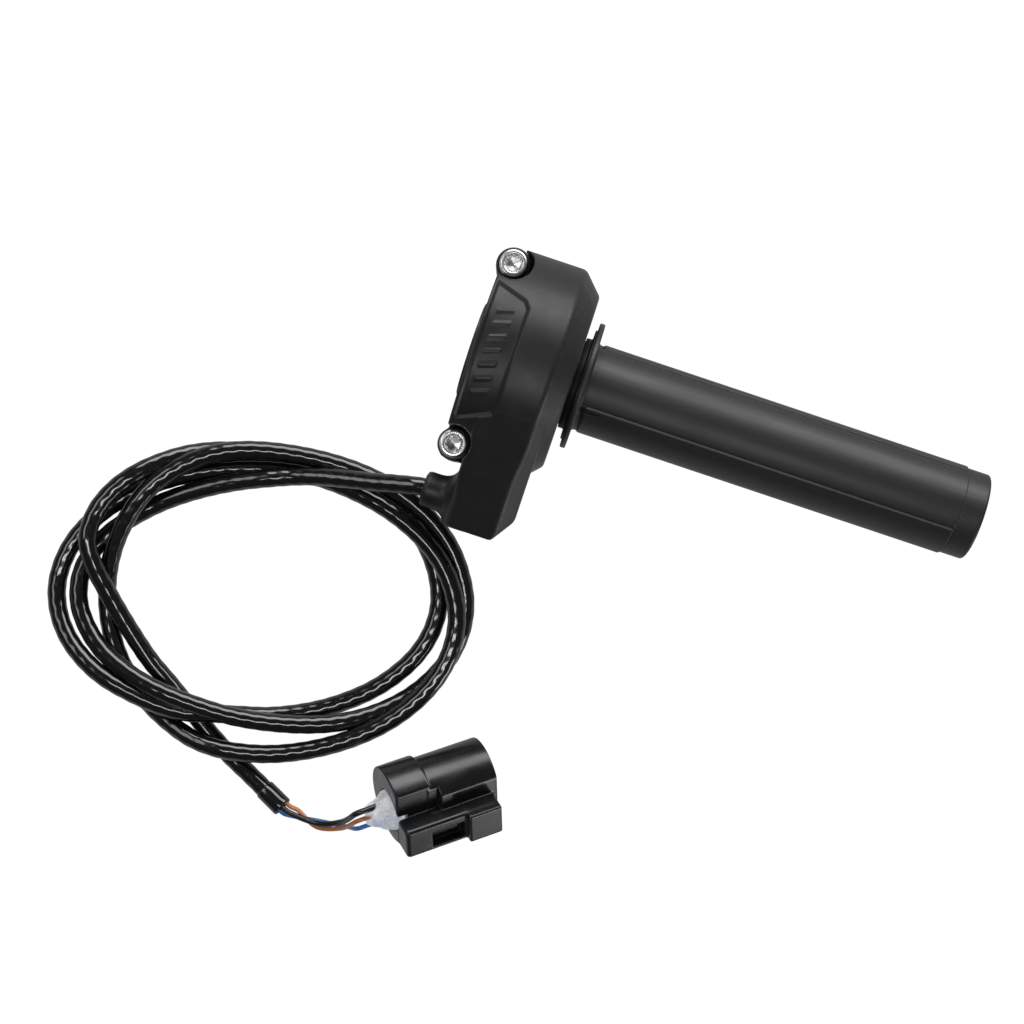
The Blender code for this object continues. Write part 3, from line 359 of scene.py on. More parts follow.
def make_materials():
    """One material for each of the record's slots; the values follow each recipe's own order."""
    plastic = {
        "case_black": ((0.0085, 0.0087, 0.0095), (0.012, 0.0122, 0.013), 0.44, 0.16, 0.012, 0.40),
        "bush_natural": ((0.62, 0.60, 0.52), (0.72, 0.70, 0.62), 0.45),
        "carrier_plastic": ((0.17, 0.18, 0.20), (0.22, 0.23, 0.25), 0.5),
        "chip_black": ((0.012, 0.012, 0.013), (0.018, 0.018, 0.019), 0.4),
        "plug_black": ((0.0045, 0.0048, 0.0058), (0.006, 0.0063, 0.0072), 0.25, 0.3, 0.003),
    }
    flexible = {
        "seal_rubber": ((0.010, 0.010, 0.011), 0.55, 2.0, 0.03, 0.35),
        "cable_pvc": ((0.0045, 0.0046, 0.0052), 0.13, 3.4, 0.05, 0.75),
        "wire_black": ((0.010, 0.010, 0.011), 0.26, 1.6, 0.05),
        "wire_orange": ((0.50, 0.19, 0.075), 0.30, 1.6, 0.03),
        "wire_blue": ((0.03, 0.16, 0.52), 0.3, 1.6, 0.03),
    }
    metals = {
        "magnet_nickel": ((0.60, 0.60, 0.62), (0.45, 0.45, 0.46), 0.24),
        "spring_steel": ((0.42, 0.42, 0.44), (0.30, 0.30, 0.31), 0.3),
        "stainless": ((0.86, 0.86, 0.85), (0.74, 0.74, 0.72), 0.27, 0.0005),
        "zinc_steel": ((0.55, 0.56, 0.57), (0.38, 0.38, 0.38), 0.32),
        "terminal_tin": ((0.70, 0.69, 0.66), (0.52, 0.51, 0.48), 0.3),
    }
    made = {}
    for recipe, looks in ((moulded, plastic), (soft_skin, flexible), (metal, metals)):
        for name, look in looks.items():
            made[name] = recipe(name, *look)
    made["tube_charcoal"] = drawn_plastic(
        "tube_charcoal", (0.0115, 0.0118, 0.013), (0.015, 0.0153, 0.0165), 0.47, 0.45)
    made["board_green"] = circuit_board("board_green")
    made["hot_melt"] = glue("hot_melt")
    return made


MATERIALS = make_materials()


# ---- pieces and meshes ---------------------------------------------------------------------------

def piece(name, points, faces, node, normals=None):
    """A shown mesh that stands for a CAD node, rides on its body and takes its material."""
    mesh = bpy.data.meshes.new(name)
    mesh.from_pydata((np.asarray(points, float) + BAR) * MM, [], faces)
    mesh.shade_smooth()
    if normals is not None:
        mesh.normals_split_custom_set_from_vertices(normals.tolist())
    made = bpy.data.objects.new(name, mesh)
    bpy.context.scene.collection.objects.link(made)
    mesh.materials.append(MATERIALS[SLOT_OF[node]])
    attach(made, frame["nodes"][node]["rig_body"])
    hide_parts(node)
    return made


def rings_to_faces(rings, sides, loop=False):
    """Quads between rings of points; the last ring is joined to the first, or both ends are capped."""
    faces = []
    for row in range(rings if loop else rings - 1):
        here, there = row * sides, (row + 1) % rings * sides
        for i in range(sides):
            j = (i + 1) % sides
            faces.append((here + i, here + j, there + j, there + i))
    if not loop:
        faces.append(tuple(reversed(range(sides))))
        faces.append(tuple(range((rings - 1) * sides, rings * sides)))
    return faces


class Room:
    """A box of evenly spaced sample points in which shapes are distances, negative inside."""

    def __init__(self, low, high, step):
        self.low, self.step = np.array(low, float), step
        axes = [np.arange(a, b + step, step, dtype=np.float32) for a, b in zip(low, high)]
        self.x, self.y, self.z = np.meshgrid(*axes, indexing="ij", sparse=True)


def union(first, second, reach=0.0):
    """The two shapes together, with a hollow fillet of about this reach between them."""
    if np.max(reach) == 0:
        return np.minimum(first, second)
    return np.minimum(first, second) - np.maximum(reach - np.abs(first - second), 0) ** 2 / (4 * reach)


def meet(first, second, reach=0.0):
    """What the two shapes share, its edge rounded over about this reach."""
    return -union(-first, -second, reach)


def carve(shape, tool, reach=0.0):
    """The shape with the tool's room cut out of it."""
    return meet(shape, -tool, reach)


def blend_in(value, low, high):
    """Rises smoothly from 0 at low to 1 at high."""
    share = np.clip((value - low) / (high - low), 0.0, 1.0)
    return share * share * (3 - 2 * share)


def outline(across, up, corners):
    """Distance from points of a plane to a closed outline."""
    nearest, inside = np.inf, False
    for (ax, ay), (bx, by) in zip(corners, corners[1:] + corners[:1]):
        ex, ey = bx - ax, by - ay
        px, py = across - ax, up - ay
        share = np.clip((px * ex + py * ey) / (ex * ex + ey * ey), 0, 1)
        nearest = np.minimum(nearest, (px - ex * share) ** 2 + (py - ey * share) ** 2)
        above, below, left = py >= 0, up < by, ex * py > ey * px
        inside = inside ^ ((above & below & left) | ~(above | below | left))
    return np.where(inside, -1, 1) * np.sqrt(nearest)


def turned(room, profile):
    """A closed (along X, radius) profile turned about the bar axis."""
    spacing = room.step / 2
    radius = np.hypot(room.y[0], room.z[0]) / spacing
    radii = np.arange(int(radius.max()) + 2, dtype=np.float32) * spacing
    table = outline(room.x[:, 0], radii[None, :], profile)
    index = radius.astype(int)
    share = radius - index
    return table[:, index] * (1 - share) + table[:, index + 1] * share


def rod(room, x, y, radius, low=-FAR, high=FAR, edge=0.0):
    """A round bar along Z."""
    return meet(np.hypot(room.x - x, room.y - y) - radius, np.maximum(low - room.z, room.z - high), edge)


def brick(room, x, y, z, edge=0.0):
    """A block, given by its span along each axis."""
    spans = zip((room.x, room.y, room.z), (x, y, z))
    sides = [np.maximum(low - axis, axis - high) for axis, (low, high) in spans]
    return meet(meet(sides[0], sides[1], edge), sides[2], edge)


def hexagon(room, x, y, flats):
    """A hexagon pulled along Z, a flat facing +X."""
    across, up = np.abs(room.x - x), np.abs(room.y - y)
    return np.maximum(across, up * math.cos(math.pi / 6) + across * 0.5) - flats / 2


def sample(fields, points):
    """Values of stacked fields between their grid points."""
    low = np.floor(points).astype(int)
    low = np.clip(low, 0, np.array(fields.shape[1:]) - 2)
    share = points - low
    total = 0.0
    for corner in np.ndindex(2, 2, 2):
        weight = np.prod(np.where(corner, share, 1 - share), axis=1)
        a, b, c = (low + corner).T
        total = total + fields[:, a, b, c] * weight
    return total.T


def skin(name, room, field, node, turn=None):
    """The surface of a shape as a mesh, with normals taken from the shape itself."""
    field = np.ascontiguousarray(field, np.float32)
    grid = openvdb.FloatGrid()
    grid.copyFromArray(field)
    spots, triangles, quads = grid.convertToPolygons(0.0, 0.0)
    normals = sample(np.stack(np.gradient(field)), spots)
    normals /= np.linalg.norm(normals, axis=1)[:, None] + 1e-9
    points = room.low + spots * room.step
    probe = quads if len(quads) else triangles
    corner = points[probe[:, :3].astype(int)]
    facing = np.cross(corner[:, 1] - corner[:, 0], corner[:, 2] - corner[:, 0])
    if (facing * normals[probe[:, 0]]).sum() < 0:
        triangles, quads = triangles[:, ::-1], quads[:, ::-1]
    if turn is not None:
        points = points @ turn[:3, :3].T + turn[:3, 3]
        normals = normals @ turn[:3, :3].T
    return piece(name, points, triangles.tolist() + quads.tolist(), node, normals)


# ---- housing -------------------------------------------------------------------------------------

def bevel_from(room, side, rim):
    """The bevel that starts on a side at x = rim and falls towards the outboard face."""
    run, drop = DRUM_X - RIM_X, DRUM_R - RIM_R
    return ((room.x - rim) * drop + side * run) / math.hypot(run, drop)


def drum(room, radius):
    """The round body, bevelled towards the twist tube."""
    side = meet(radius - DRUM_R, -room.x, DRUM_EDGE)
    cone = bevel_from(room, radius - DRUM_R, RIM_X)
    return meet(meet(side, cone, BEVEL_EDGE), room.x - DRUM_X, RIM_EDGE)


def tail(room):
    """The lower box. Its sloping front just touches the drum, and its bevel carries on the drum's."""
    slope = math.radians(TAIL_SLOPE)
    front = room.z * math.cos(slope) - room.y * math.sin(slope) - DRUM_R
    rim = RIM_X + (TAIL_RIM_X - RIM_X) * blend_in(-room.y, *RIM_SHIFT)
    shape = meet(front, bevel_from(room, front, rim), BEVEL_EDGE)
    left_edge = LEFT_EDGE + LEFT_EDGE_GAIN * blend_in(-room.y, *LEFT_EDGE_SHIFT)
    shape = meet(shape, TAIL_LEFT - room.x, left_edge)
    shape = meet(shape, room.x - TAIL_RIGHT, TAIL_EDGE)
    corner = (room.x - TAIL_RIGHT) * CHAMFER_TALL - (room.y - CHAMFER_Y) * CHAMFER_WIDE
    shape = meet(shape, corner / math.hypot(CHAMFER_TALL, CHAMFER_WIDE), TAIL_EDGE)
    shape = meet(shape, TAIL_BOTTOM - room.y, TAIL_BOTTOM_EDGE)
    shape = meet(shape, TAIL_BACK - room.z, TAIL_BACK_EDGE)
    return np.maximum(shape, room.y + DRUM_R * math.sin(slope))


def neck(room):
    """The round spout round the lead."""
    side = np.hypot(room.y - NECK_Y, room.z) - NECK_R
    return np.maximum(meet(side, NECK_X - room.x, NECK_EDGE), room.x - NECK_ROOT)


def housing(room):
    """The outside of the whole housing, before it is split and hollowed."""
    radius = np.hypot(room.y, room.z)
    shape = union(drum(room, radius), tail(room), SEAM)
    shape = union(shape, neck(room), NECK_FILLET)
    boss = meet(radius - BOSS_R, BOSS_X - room.x, 0.3)
    shape = union(shape, np.maximum(boss, room.x - 1.0), SEAM)
    return label(room, clamp_lugs(room, shape), radius)


def clamp_lugs(room, shape):
    """Cuts room for the two clamp lugs and adds them, with a web below one and a bridge beside the other."""
    upper, lower = LUGS
    for lug in LUGS:
        shape = carve(shape, rod(room, lug.x, lug.y, lug.pocket, LUG_TOP - 1.3, FAR), 0.5)
    near = np.hypot(room.x - upper.x, room.y - upper.y) - upper.pocket
    inboard = np.maximum(room.x - upper.x, upper.y + 1.0 - room.y)
    beyond = np.maximum(upper.y - room.y, LUG_FOOT + 0.2 - room.z)
    shape = carve(shape, np.maximum(np.minimum(near, inboard), beyond), 0.3)
    web = brick(room, (lower.x, TAIL_LEFT + 3.0), WEB_Y, (LUG_FOOT, LUG_TOP - 1.0), 0.8)
    shape = union(shape, web, 1.2)
    bridge = rod(room, upper.x, upper.y, upper.pocket + 0.3, LUG_FOOT + 1.0, LUG_TOP - 2.5)
    shape = union(shape, np.maximum(bridge, upper.x + 3.0 - room.x), 0.3)
    for lug in LUGS:
        shape = union(shape, rod(room, lug.x, lug.y, lug.radius, LUG_FOOT, LUG_TOP, 0.5), 0.7)
    return shape


def label(room, shape, radius):
    """A sunk label field with sloping walls and a plain row of slanted ribs on its floor."""
    across, up = room.x[:, :, 0], room.y[:, :, 0]
    field = outline(across, up, PANEL)[:, :, None]
    floor = DRUM_R - PANEL_DEPTH
    wall = field - PANEL_WALL / PANEL_DEPTH * (radius - floor - PANEL_DEPTH / 2)
    shape = carve(shape, np.maximum(np.maximum(wall, floor - radius), -room.z), 0.22)
    left, right = RIB_X
    ribs = np.float32(FAR)
    for i in range(RIBS):
        y = RIB_FIRST + i * RIB_PITCH
        corners = [(left, y), (right, y + RIB_RISE), (right, y + RIB_RISE + RIB_WIDE), (left, y + RIB_WIDE)]
        ribs = np.minimum(ribs, outline(across, up, corners))
    raised = meet(ribs[:, :, None] + 0.5 * (radius - floor), radius - floor - RIB_HEIGHT, 0.25)
    return union(shape, np.maximum(raised, floor - 1.0 - radius), 0.4)


def hollow(room, shape):
    """Cuts the bar bore, the pockets and the room for the mechanism, the sensor and the lead."""
    for profile in (MECHANISM, SADDLE):
        shape = carve(shape, np.maximum(turned(room, profile), BACK_INSIDE - room.z))
    radius = np.hypot(room.y, room.z)
    shape = carve(shape, np.maximum(radius - BAR_R, room.x - BAR_ROOM_END), 0.5)
    inner = outline(room.x[:, :, 0], room.y[:, :, 0], SENSOR_ROOM)[:, :, None]
    shape = carve(shape, np.maximum(inner, outline(room.y[0], room.z[0], SENSOR_ROOF)[None]))
    bore = np.hypot(room.y - NECK_Y, room.z) - NECK_BORE
    shape = carve(shape, np.maximum(bore, room.x - NECK_ROOT - 1.0), 0.5)
    for lug in LUGS:
        shape = carve(shape, rod(room, lug.x, lug.y, M5_HOLE_R), 0.2)
    return shape


def front_case():
    """The front half, with a pillar for each case screw."""
    room = Room((*CASE_LOW, -0.6), (*CASE_HIGH, DRUM_R + 1.0), CASE_STEP)
    shape = hollow(room, meet(housing(room), SPLIT - room.z, SPLIT_EDGE))
    for screw in CASE_SCREWS:
        shape = union(shape, rod(room, screw.x, screw.y, PILLAR_R, SPLIT, screw.pillar_top), 0.4)
        shape = carve(shape, rod(room, screw.x, screw.y, PILLAR_HOLE_R, -1.0, screw.tip + 1.2))
    return skin("front_case_skin", room, shape, "front_case")


def rear_case():
    """The flat-backed rear half, with nut pockets, screw bosses and the sensor's small posts."""
    room = Room((*CASE_LOW, BACK_Z - 0.8), (*CASE_HIGH, 0.6), CASE_STEP)
    shape = meet(housing(room), room.z + SPLIT, SPLIT_EDGE)
    shape = hollow(room, meet(shape, BACK_Z - room.z, BACK_EDGE))
    for lug in LUGS:
        nut_room = np.maximum(hexagon(room, lug.x, lug.y, NUT_POCKET), room.z - NUT_Z[1] - 0.3)
        shape = carve(shape, nut_room, 0.3)
    for post in SMALL_POSTS:
        shape = union(shape, rod(room, post.x, post.y, post.radius, TAIL_BACK + 1.0, post.top), 0.4)
        shape = carve(shape, rod(room, post.x, post.y, POST_HOLE_R, *POST_HOLE_Z), 0.2)
    for screw in CASE_SCREWS:
        shape = union(shape, rod(room, screw.x, screw.y, screw.boss_radius, screw.seat - 2.0, -SPLIT), 0.3)
        shape = carve(shape, rod(room, screw.x, screw.y, PILLAR_HOLE_R, -30.0, 5.0), 0.2)
        shape = carve(shape, rod(room, screw.x, screw.y, COUNTERBORE_R, -30.0, screw.seat), 0.4)
    return skin("rear_case_skin", room, shape, "rear_case")


# ---- twist tube ----------------------------------------------------------------------------------

def tube_stations():
    """Places along the tube where a ring of points goes, with its radius, from the bore to the sleeve."""
    edge = 0.25
    hub = [
        (HUB_X, TUBE_BORE), (HUB_X, HUB_R - edge), (HUB_X + edge, HUB_R),
        (THRUST_X[0], HUB_R), (THRUST_X[0], THRUST_R), (THRUST_X[1], THRUST_R), (THRUST_X[1], HUB_R),
    ]
    collar = [
        (COLLAR_X, HUB_R), (COLLAR_X, COLLAR_R - edge), (COLLAR_X + edge, COLLAR_R),
        (FLANGE_X - 0.5, COLLAR_R), (FLANGE_X - 0.1, COLLAR_R + 0.15), (FLANGE_X, COLLAR_R + 0.6),
    ]
    flange = [
        (FLANGE_X, FLANGE_R - edge), (FLANGE_X + edge, FLANGE_R), (THIN_RIM_X, FLANGE_R),
        (THIN_RIM_X, THIN_RIM_R - edge), (THIN_RIM_X + edge, THIN_RIM_R),
        (FLANGE_END - edge, THIN_RIM_R), (FLANGE_END, THIN_RIM_R - edge),
    ]
    fillet = [
        (FLANGE_END, SLEEVE_R + 1.2), (FLANGE_END + 0.12, SLEEVE_R + 0.5), (FLANGE_END + 0.5, SLEEVE_R + 0.1),
    ]
    return hub + collar + flange + fillet


def sleeve_stations():
    """Places of the rings along the sleeve, closer together where its relief changes."""
    return np.concatenate([
        np.arange(FLANGE_END + 0.8, GATE_END + 1.0, 0.4),
        np.arange(GATE_END + 1.6, PANEL_END - 1.0, 3.0),
        np.arange(PANEL_END - 0.8, PANEL_END + 0.9, 0.08),
        np.arange(PANEL_END + 1.4, TUBE_END - 0.9, 1.0),
    ])


def relief(x, angle):
    """Height over the plain sleeve: two raised panels in fine grooves, a tapering slot and a ring line."""
    height = np.zeros(np.broadcast(x, angle).shape)
    arc = math.radians(1.0) * SLEEVE_R
    along = blend_in(PANEL_END - x, -0.05, 0.4) * blend_in(x, PANEL_START - 0.3, PANEL_START + 0.3)
    for start, end in PANEL_SPANS:
        inside = np.minimum(angle - start, end - angle) * arc
        height += (PANEL_R - SLEEVE_R) * blend_in(inside, -0.10, 0.45) * along
        groove = np.exp(-((inside + 0.22) / 0.15) ** 2)
        height -= GROOVE_DEEP * groove * blend_in(PANEL_END - x, -0.05, 0.25)
    taper = np.clip((GATE_END - x) / (GATE_END - FLANGE_END), 0.0, 1.0)
    off = np.abs(angle - GATE_ANGLE) * arc
    slot = 1 - blend_in(off, 0.15 + 0.45 * taper, 0.4 + 0.5 * taper)
    height -= GATE_DEEP * slot * blend_in(taper, 0.0, 0.12)
    return height - RING_DEEP * np.exp(-((x - PANEL_END - 0.1) / 0.16) ** 2)


def tube_angles():
    """Steps round the tube from +Z towards +Y, closer together at the panel edges and the slot."""
    angles = set(np.arange(0.0, 360.0, 1.5).round(3))
    for edge in [angle for span in PANEL_SPANS for angle in span]:
        angles |= set((edge + np.arange(-2.4, 2.41, 0.3)).round(3) % 360)
    angles |= set((GATE_ANGLE + np.arange(-4.5, 4.51, 0.3)).round(3) % 360)
    return np.array(sorted(angles))


def tube_rings(angles):
    """Each ring of the tube as its place along the bar and its radius at every angle."""
    level = np.ones(len(angles))
    rings = [(x, radius * level) for x, radius in tube_stations()]
    rings += [(x, SLEEVE_R + relief(x, angles)) for x in sleeve_stations()]
    centre_x, centre_r = TUBE_END - TUBE_EDGE, SLEEVE_R - TUBE_EDGE
    for turn in np.linspace(0.0, math.pi / 2, 7):
        rings.append((centre_x + TUBE_EDGE * math.sin(turn), (centre_r + TUBE_EDGE * math.cos(turn)) * level))
    rings.append((TUBE_END, (TUBE_BORE + 0.3) * level))
    rings.append((TUBE_END - 0.3, TUBE_BORE * level))
    return rings


def twist_tube():
    """A turned sleeve with raised panels; the outer skin carries the relief, the rest is plain."""
    angles = tube_angles()
    turn = np.radians(angles)
    rings = tube_rings(angles)
    points = [np.column_stack([np.full(len(turn), x), r * np.sin(turn), r * np.cos(turn)]) for x, r in rings]
    faces = rings_to_faces(len(rings), len(turn), loop=True)
    made = piece("twist_tube_skin", np.concatenate(points), [face[::-1] for face in faces], "twist_tube")
    made.data.set_sharp_from_angle(angle=math.radians(50))


# ---- fasteners -----------------------------------------------------------------------------------

def thread(room, x, y, radius, pitch, depth):
    """A screw thread's skin along Z."""
    turn = np.arctan2(room.y - y, room.x - x) / (2 * math.pi)
    wave = np.abs(((room.z / pitch - turn) % 1.0) * 2 - 1)
    return np.hypot(room.x - x, room.y - y) - radius + depth * wave


def clamp_screw(side, x, y):
    """Socket head cap screw: fine knurl round the head, dished top, countersunk hexagon socket."""
    room = Room((x - 4.6, y - 4.6, M5_TIP - 0.4), (x + 4.6, y + 4.6, LUG_TOP + M5_HEAD + 0.8), SCREW_GRID)
    seat = LUG_TOP + SEAT_GAP
    top = seat + M5_HEAD
    radius = np.hypot(room.x - x, room.y - y)
    turn = np.arctan2(room.y - y, room.x - x)
    knurl = KNURL_DEEP * np.cos(KNURLS * turn) * np.clip((top - 1.3 - room.z) * 4, 0, 1)
    head = meet(radius - M5_HEAD_R + KNURL_DEEP - knurl, room.z - top, 0.9)
    head = np.maximum(head, seat - room.z)
    bottom = top - M5_SOCKET_DEEP - 0.35 * (2.2 - radius)
    head = carve(head, np.maximum(hexagon(room, x, y, M5_SOCKET), bottom - room.z), 0.12)
    dish = (radius - M5_DISH_R) + (top - room.z) * 0.9
    head = carve(head, np.maximum(dish, top - M5_DISH_DEEP - room.z), 0.15)
    point = M5_TIP - room.z + np.maximum(radius - 1.9, 0) * 0.8
    shank = meet(thread(room, x, y, M5_R, M5_PITCH, M5_THREAD), point, 0.1)
    shape = union(head, np.maximum(shank, room.z - seat - 0.4), 0.2)
    return skin(f"clamp_screw_{side}_skin", room, shape, f"clamp_screw_{side}")


def clamp_nut(side, x, y):
    """Hexagon nut with turned-down corners and a tapped bore."""
    low, high = NUT_Z
    room = Room((x - 5.2, y - 5.2, low - 0.5), (x + 5.2, y + 5.2, high + 0.5), NUT_GRID)
    radius = np.hypot(room.x - x, room.y - y)
    cone = (radius - 4.15 - np.minimum(room.z - low, high - room.z) * 1.7) * 0.5
    shape = meet(hexagon(room, x, y, NUT_FLATS), cone, 0.15)
    shape = meet(shape, np.maximum(low - room.z, room.z - high), 0.12)
    countersink = radius - 2.2 - np.maximum(low + 0.7 - room.z, 0)
    bore = np.minimum(thread(room, x, y, M5_HOLE_R, M5_PITCH, 0.2), countersink)
    return skin(f"clamp_nut_{side}_skin", room, carve(shape, bore, 0.08), f"clamp_nut_{side}")


def case_screw(name, x, y, seat, tip):
    """Pan head tapping screw with a cross recess, head downwards in the back of the housing."""
    seat -= SEAT_GAP
    room = Room((x - 3.2, y - 3.2, seat - 2.4), (x + 3.2, y + 3.2, tip + 0.4), SCREW_GRID)
    radius = np.hypot(room.x - x, room.y - y)
    dome = np.sqrt(radius ** 2 + np.minimum(room.z - seat - 1.6, 0) ** 2 * 1.15) - 3.55
    head = meet(meet(radius - PAN_R, dome, 0.3), np.maximum(room.z - seat, seat - PAN_DEEP - room.z), 0.2)
    narrowing = np.maximum(room.z - seat + PAN_DEEP, 0)
    arms = []
    for long, wide in ((room.x - x, room.y - y), (room.y - y, room.x - x)):
        end = np.abs(long) - RECESS_LONG + narrowing * 0.55
        arms.append(np.maximum(end, np.abs(wide) - RECESS_WIDE + narrowing * 0.08))
    head = carve(head, np.maximum(np.minimum(*arms), room.z - seat + 0.6), 0.08)
    point = room.z - tip + np.maximum(radius - 0.3, 0)
    shank = np.maximum(thread(room, x, y, TAPPING_R, TAPPING_PITCH, TAPPING_THREAD), point)
    shape = union(head, np.maximum(shank, seat - 0.2 - room.z), 0.2)
    return skin(f"{name}_skin", room, shape, name)


# ---- lead ----------------------------------------------------------------------------------------

def centre_line(node, sides, radius):
    """The middle of each ring of a swept CAD node, from one end to the other."""
    mesh = frame["nodes"][node].data
    mesh.calc_loop_triangles()
    points = np.array([v.co for v in mesh.vertices]) / MM - BAR
    _, first, index = np.unique(np.round(points, 3), axis=0, return_index=True, return_inverse=True)
    faces = index.reshape(-1)[np.array([t.vertices for t in mesh.loop_triangles])]
    points = points[first]
    corner = points[faces]
    normal = np.cross(corner[:, 1] - corner[:, 0], corner[:, 2] - corner[:, 0])
    normal /= np.linalg.norm(normal, axis=1)[:, None] + 1e-12
    planes = {}
    for face, n, p in zip(faces, normal, corner[:, 0]):
        planes.setdefault((*np.round(n, 2), round(float(n @ p), 1)), set()).update(face)
    ring = next(found for found in planes.values() if is_end(points[sorted(found)], sides, radius))
    near = {i: set() for i in range(len(points))}
    for face in faces:
        for a in face:
            near[a].update(face)
    seen, middles = set(), []
    while ring:
        middles.append(points[sorted(ring)].mean(axis=0))
        seen |= ring
        ring = {b for a in ring for b in near[a]} - seen
    return np.array(middles)


def is_end(points, sides, radius):
    """Whether some corners of one flat patch are the whole flat end of a swept node."""
    reach = np.linalg.norm(points - points.mean(axis=0), axis=1)
    return len(points) == sides and np.abs(reach - radius).max() < 0.01 * radius


def smooth(points, spacing):
    """A finer path through points (Catmull-Rom)."""
    ends = np.vstack([2 * points[0] - points[1], points, 2 * points[-1] - points[-2]])
    dense = []
    for p0, p1, p2, p3 in zip(ends, ends[1:], ends[2:], ends[3:]):
        for t in np.linspace(0, 1, max(2, int(np.linalg.norm(p2 - p1) / spacing)), endpoint=False):
            dense.append(0.5 * (2 * p1 + (p2 - p0) * t + (2 * p0 - 5 * p1 + 4 * p2 - p3) * t * t
                                + (3 * p1 - p0 - 3 * p2 + p3) * t ** 3))
    return np.array(dense + [points[-1]])


def ring_round(point, side, lift, angles, radius):
    """Points round a middle, in the plane of two directions."""
    return point + radius * (np.outer(np.cos(angles), side) + np.outer(np.sin(angles), lift))


def sweep(path, sides, radius):
    """Rings of points round a path; radius is a number or a function of length along and angle round."""
    runs = np.gradient(path, axis=0)
    runs /= np.linalg.norm(runs, axis=1)[:, None]
    along = np.concatenate([[0.0], np.cumsum(np.linalg.norm(np.diff(path, axis=0), axis=1))])
    angles = 2 * math.pi * np.arange(sides) / sides
    side = np.cross(runs[0], (0.0, 0.0, 1.0) if abs(runs[0][2]) < 0.9 else (0.0, 1.0, 0.0))
    rings = []
    for point, run, length in zip(path, runs, along):
        side = side - run * (side @ run)
        side /= np.linalg.norm(side)
        lift = np.cross(run, side)
        reach = radius(length, angles)[:, None] if callable(radius) else radius
        rings.append(ring_round(point, side, lift, angles, reach))
    return np.concatenate(rings)


def jacket_radius(length, angles):
    """The three wires twisted together inside show as slow waves round and along the jacket."""
    wave = np.cos(TWIST_LOBES * (angles - 2 * math.pi * length / TWIST_PITCH))
    return CABLE_R - TWIST_HEIGHT + TWIST_HEIGHT * wave


def cable():
    """The jacket, from the housing to the end sleeve; returns its middle line in that order."""
    path = smooth(centre_line("cable_jacket", CAD_CABLE_SIDES, CABLE_R), 0.8)
    points = sweep(path, CABLE_SIDES, jacket_radius)
    piece("cable_jacket_skin", points, rings_to_faces(len(path), CABLE_SIDES), "cable_jacket")
    return path if path[0][0] > path[-1][0] else path[::-1]


def end_sleeve(path):
    """A heat-shrunk end on the jacket, its mouth a little flared."""
    end = path[-1]
    way = path[-1] - path[-4]
    way /= np.linalg.norm(way)
    back = 1.2 - SLEEVE_LONG
    outside = [
        (back, SLEEVE_IN), (back + 0.05, SLEEVE_OUT - 0.12), (back + 0.4, SLEEVE_OUT), (-4.0, SLEEVE_OUT),
        (-0.6, SLEEVE_OUT), (0.9, SLEEVE_OUT), (1.15, SLEEVE_OUT - 0.08), (1.2, SLEEVE_OUT - 0.2),
    ]
    inside = [(1.15, SLEEVE_IN - 0.1), (0.4, SLEEVE_IN - 0.2), (-2.0, SLEEVE_IN - 0.05)]
    side = np.cross(way, (0.0, 0.0, 1.0))
    side /= np.linalg.norm(side)
    lift = np.cross(way, side)
    angles = 2 * math.pi * np.arange(SLEEVE_SIDES) / SLEEVE_SIDES
    rings = [ring_round(end + way * along, side, lift, angles, r) for along, r in outside + inside]
    faces = rings_to_faces(len(rings), SLEEVE_SIDES, loop=True)
    return piece("end_sleeve_skin", np.concatenate(rings), faces, "end_sleeve")


def wires():
    """The three wires between the end sleeve and the plug."""
    for node, radius in WIRE_R:
        path = smooth(centre_line(node, CAD_WIRE_SIDES, radius), 0.5)
        piece(f"{node}_skin", sweep(path, WIRE_SIDES, radius), rings_to_faces(len(path), WIRE_SIDES), node)


# ---- plug ----------------------------------------------------------------------------------------

def plug_axes():
    """The plug's own axes: X towards its latch, Y the mating direction, Z completing them."""
    turn, dip, roll = (math.radians(a) for a in (PLUG_TURN, PLUG_DIP, PLUG_ROLL))
    ahead = np.array((math.cos(turn) * math.cos(dip), math.sin(turn) * math.cos(dip), -math.sin(dip)))
    across = np.array((math.sin(turn), -math.cos(turn), 0.0))
    up = np.cross(across, ahead)
    axes = np.eye(4)
    axes[:3, 0] = across * math.cos(roll) + up * math.sin(roll)
    axes[:3, 1] = ahead
    axes[:3, 2] = up * math.cos(roll) - across * math.sin(roll)
    axes[:3, 3] = PLUG_AT
    return axes


def plug_bar(room, radius, flat, y, edge, corner=0.8):
    """A round bar along the plug, flat on its latch side."""
    around = meet(np.hypot(room.x, room.z) - radius, room.x - flat, corner)
    return meet(around, np.maximum(y[0] - room.y, room.y - y[1]), edge)


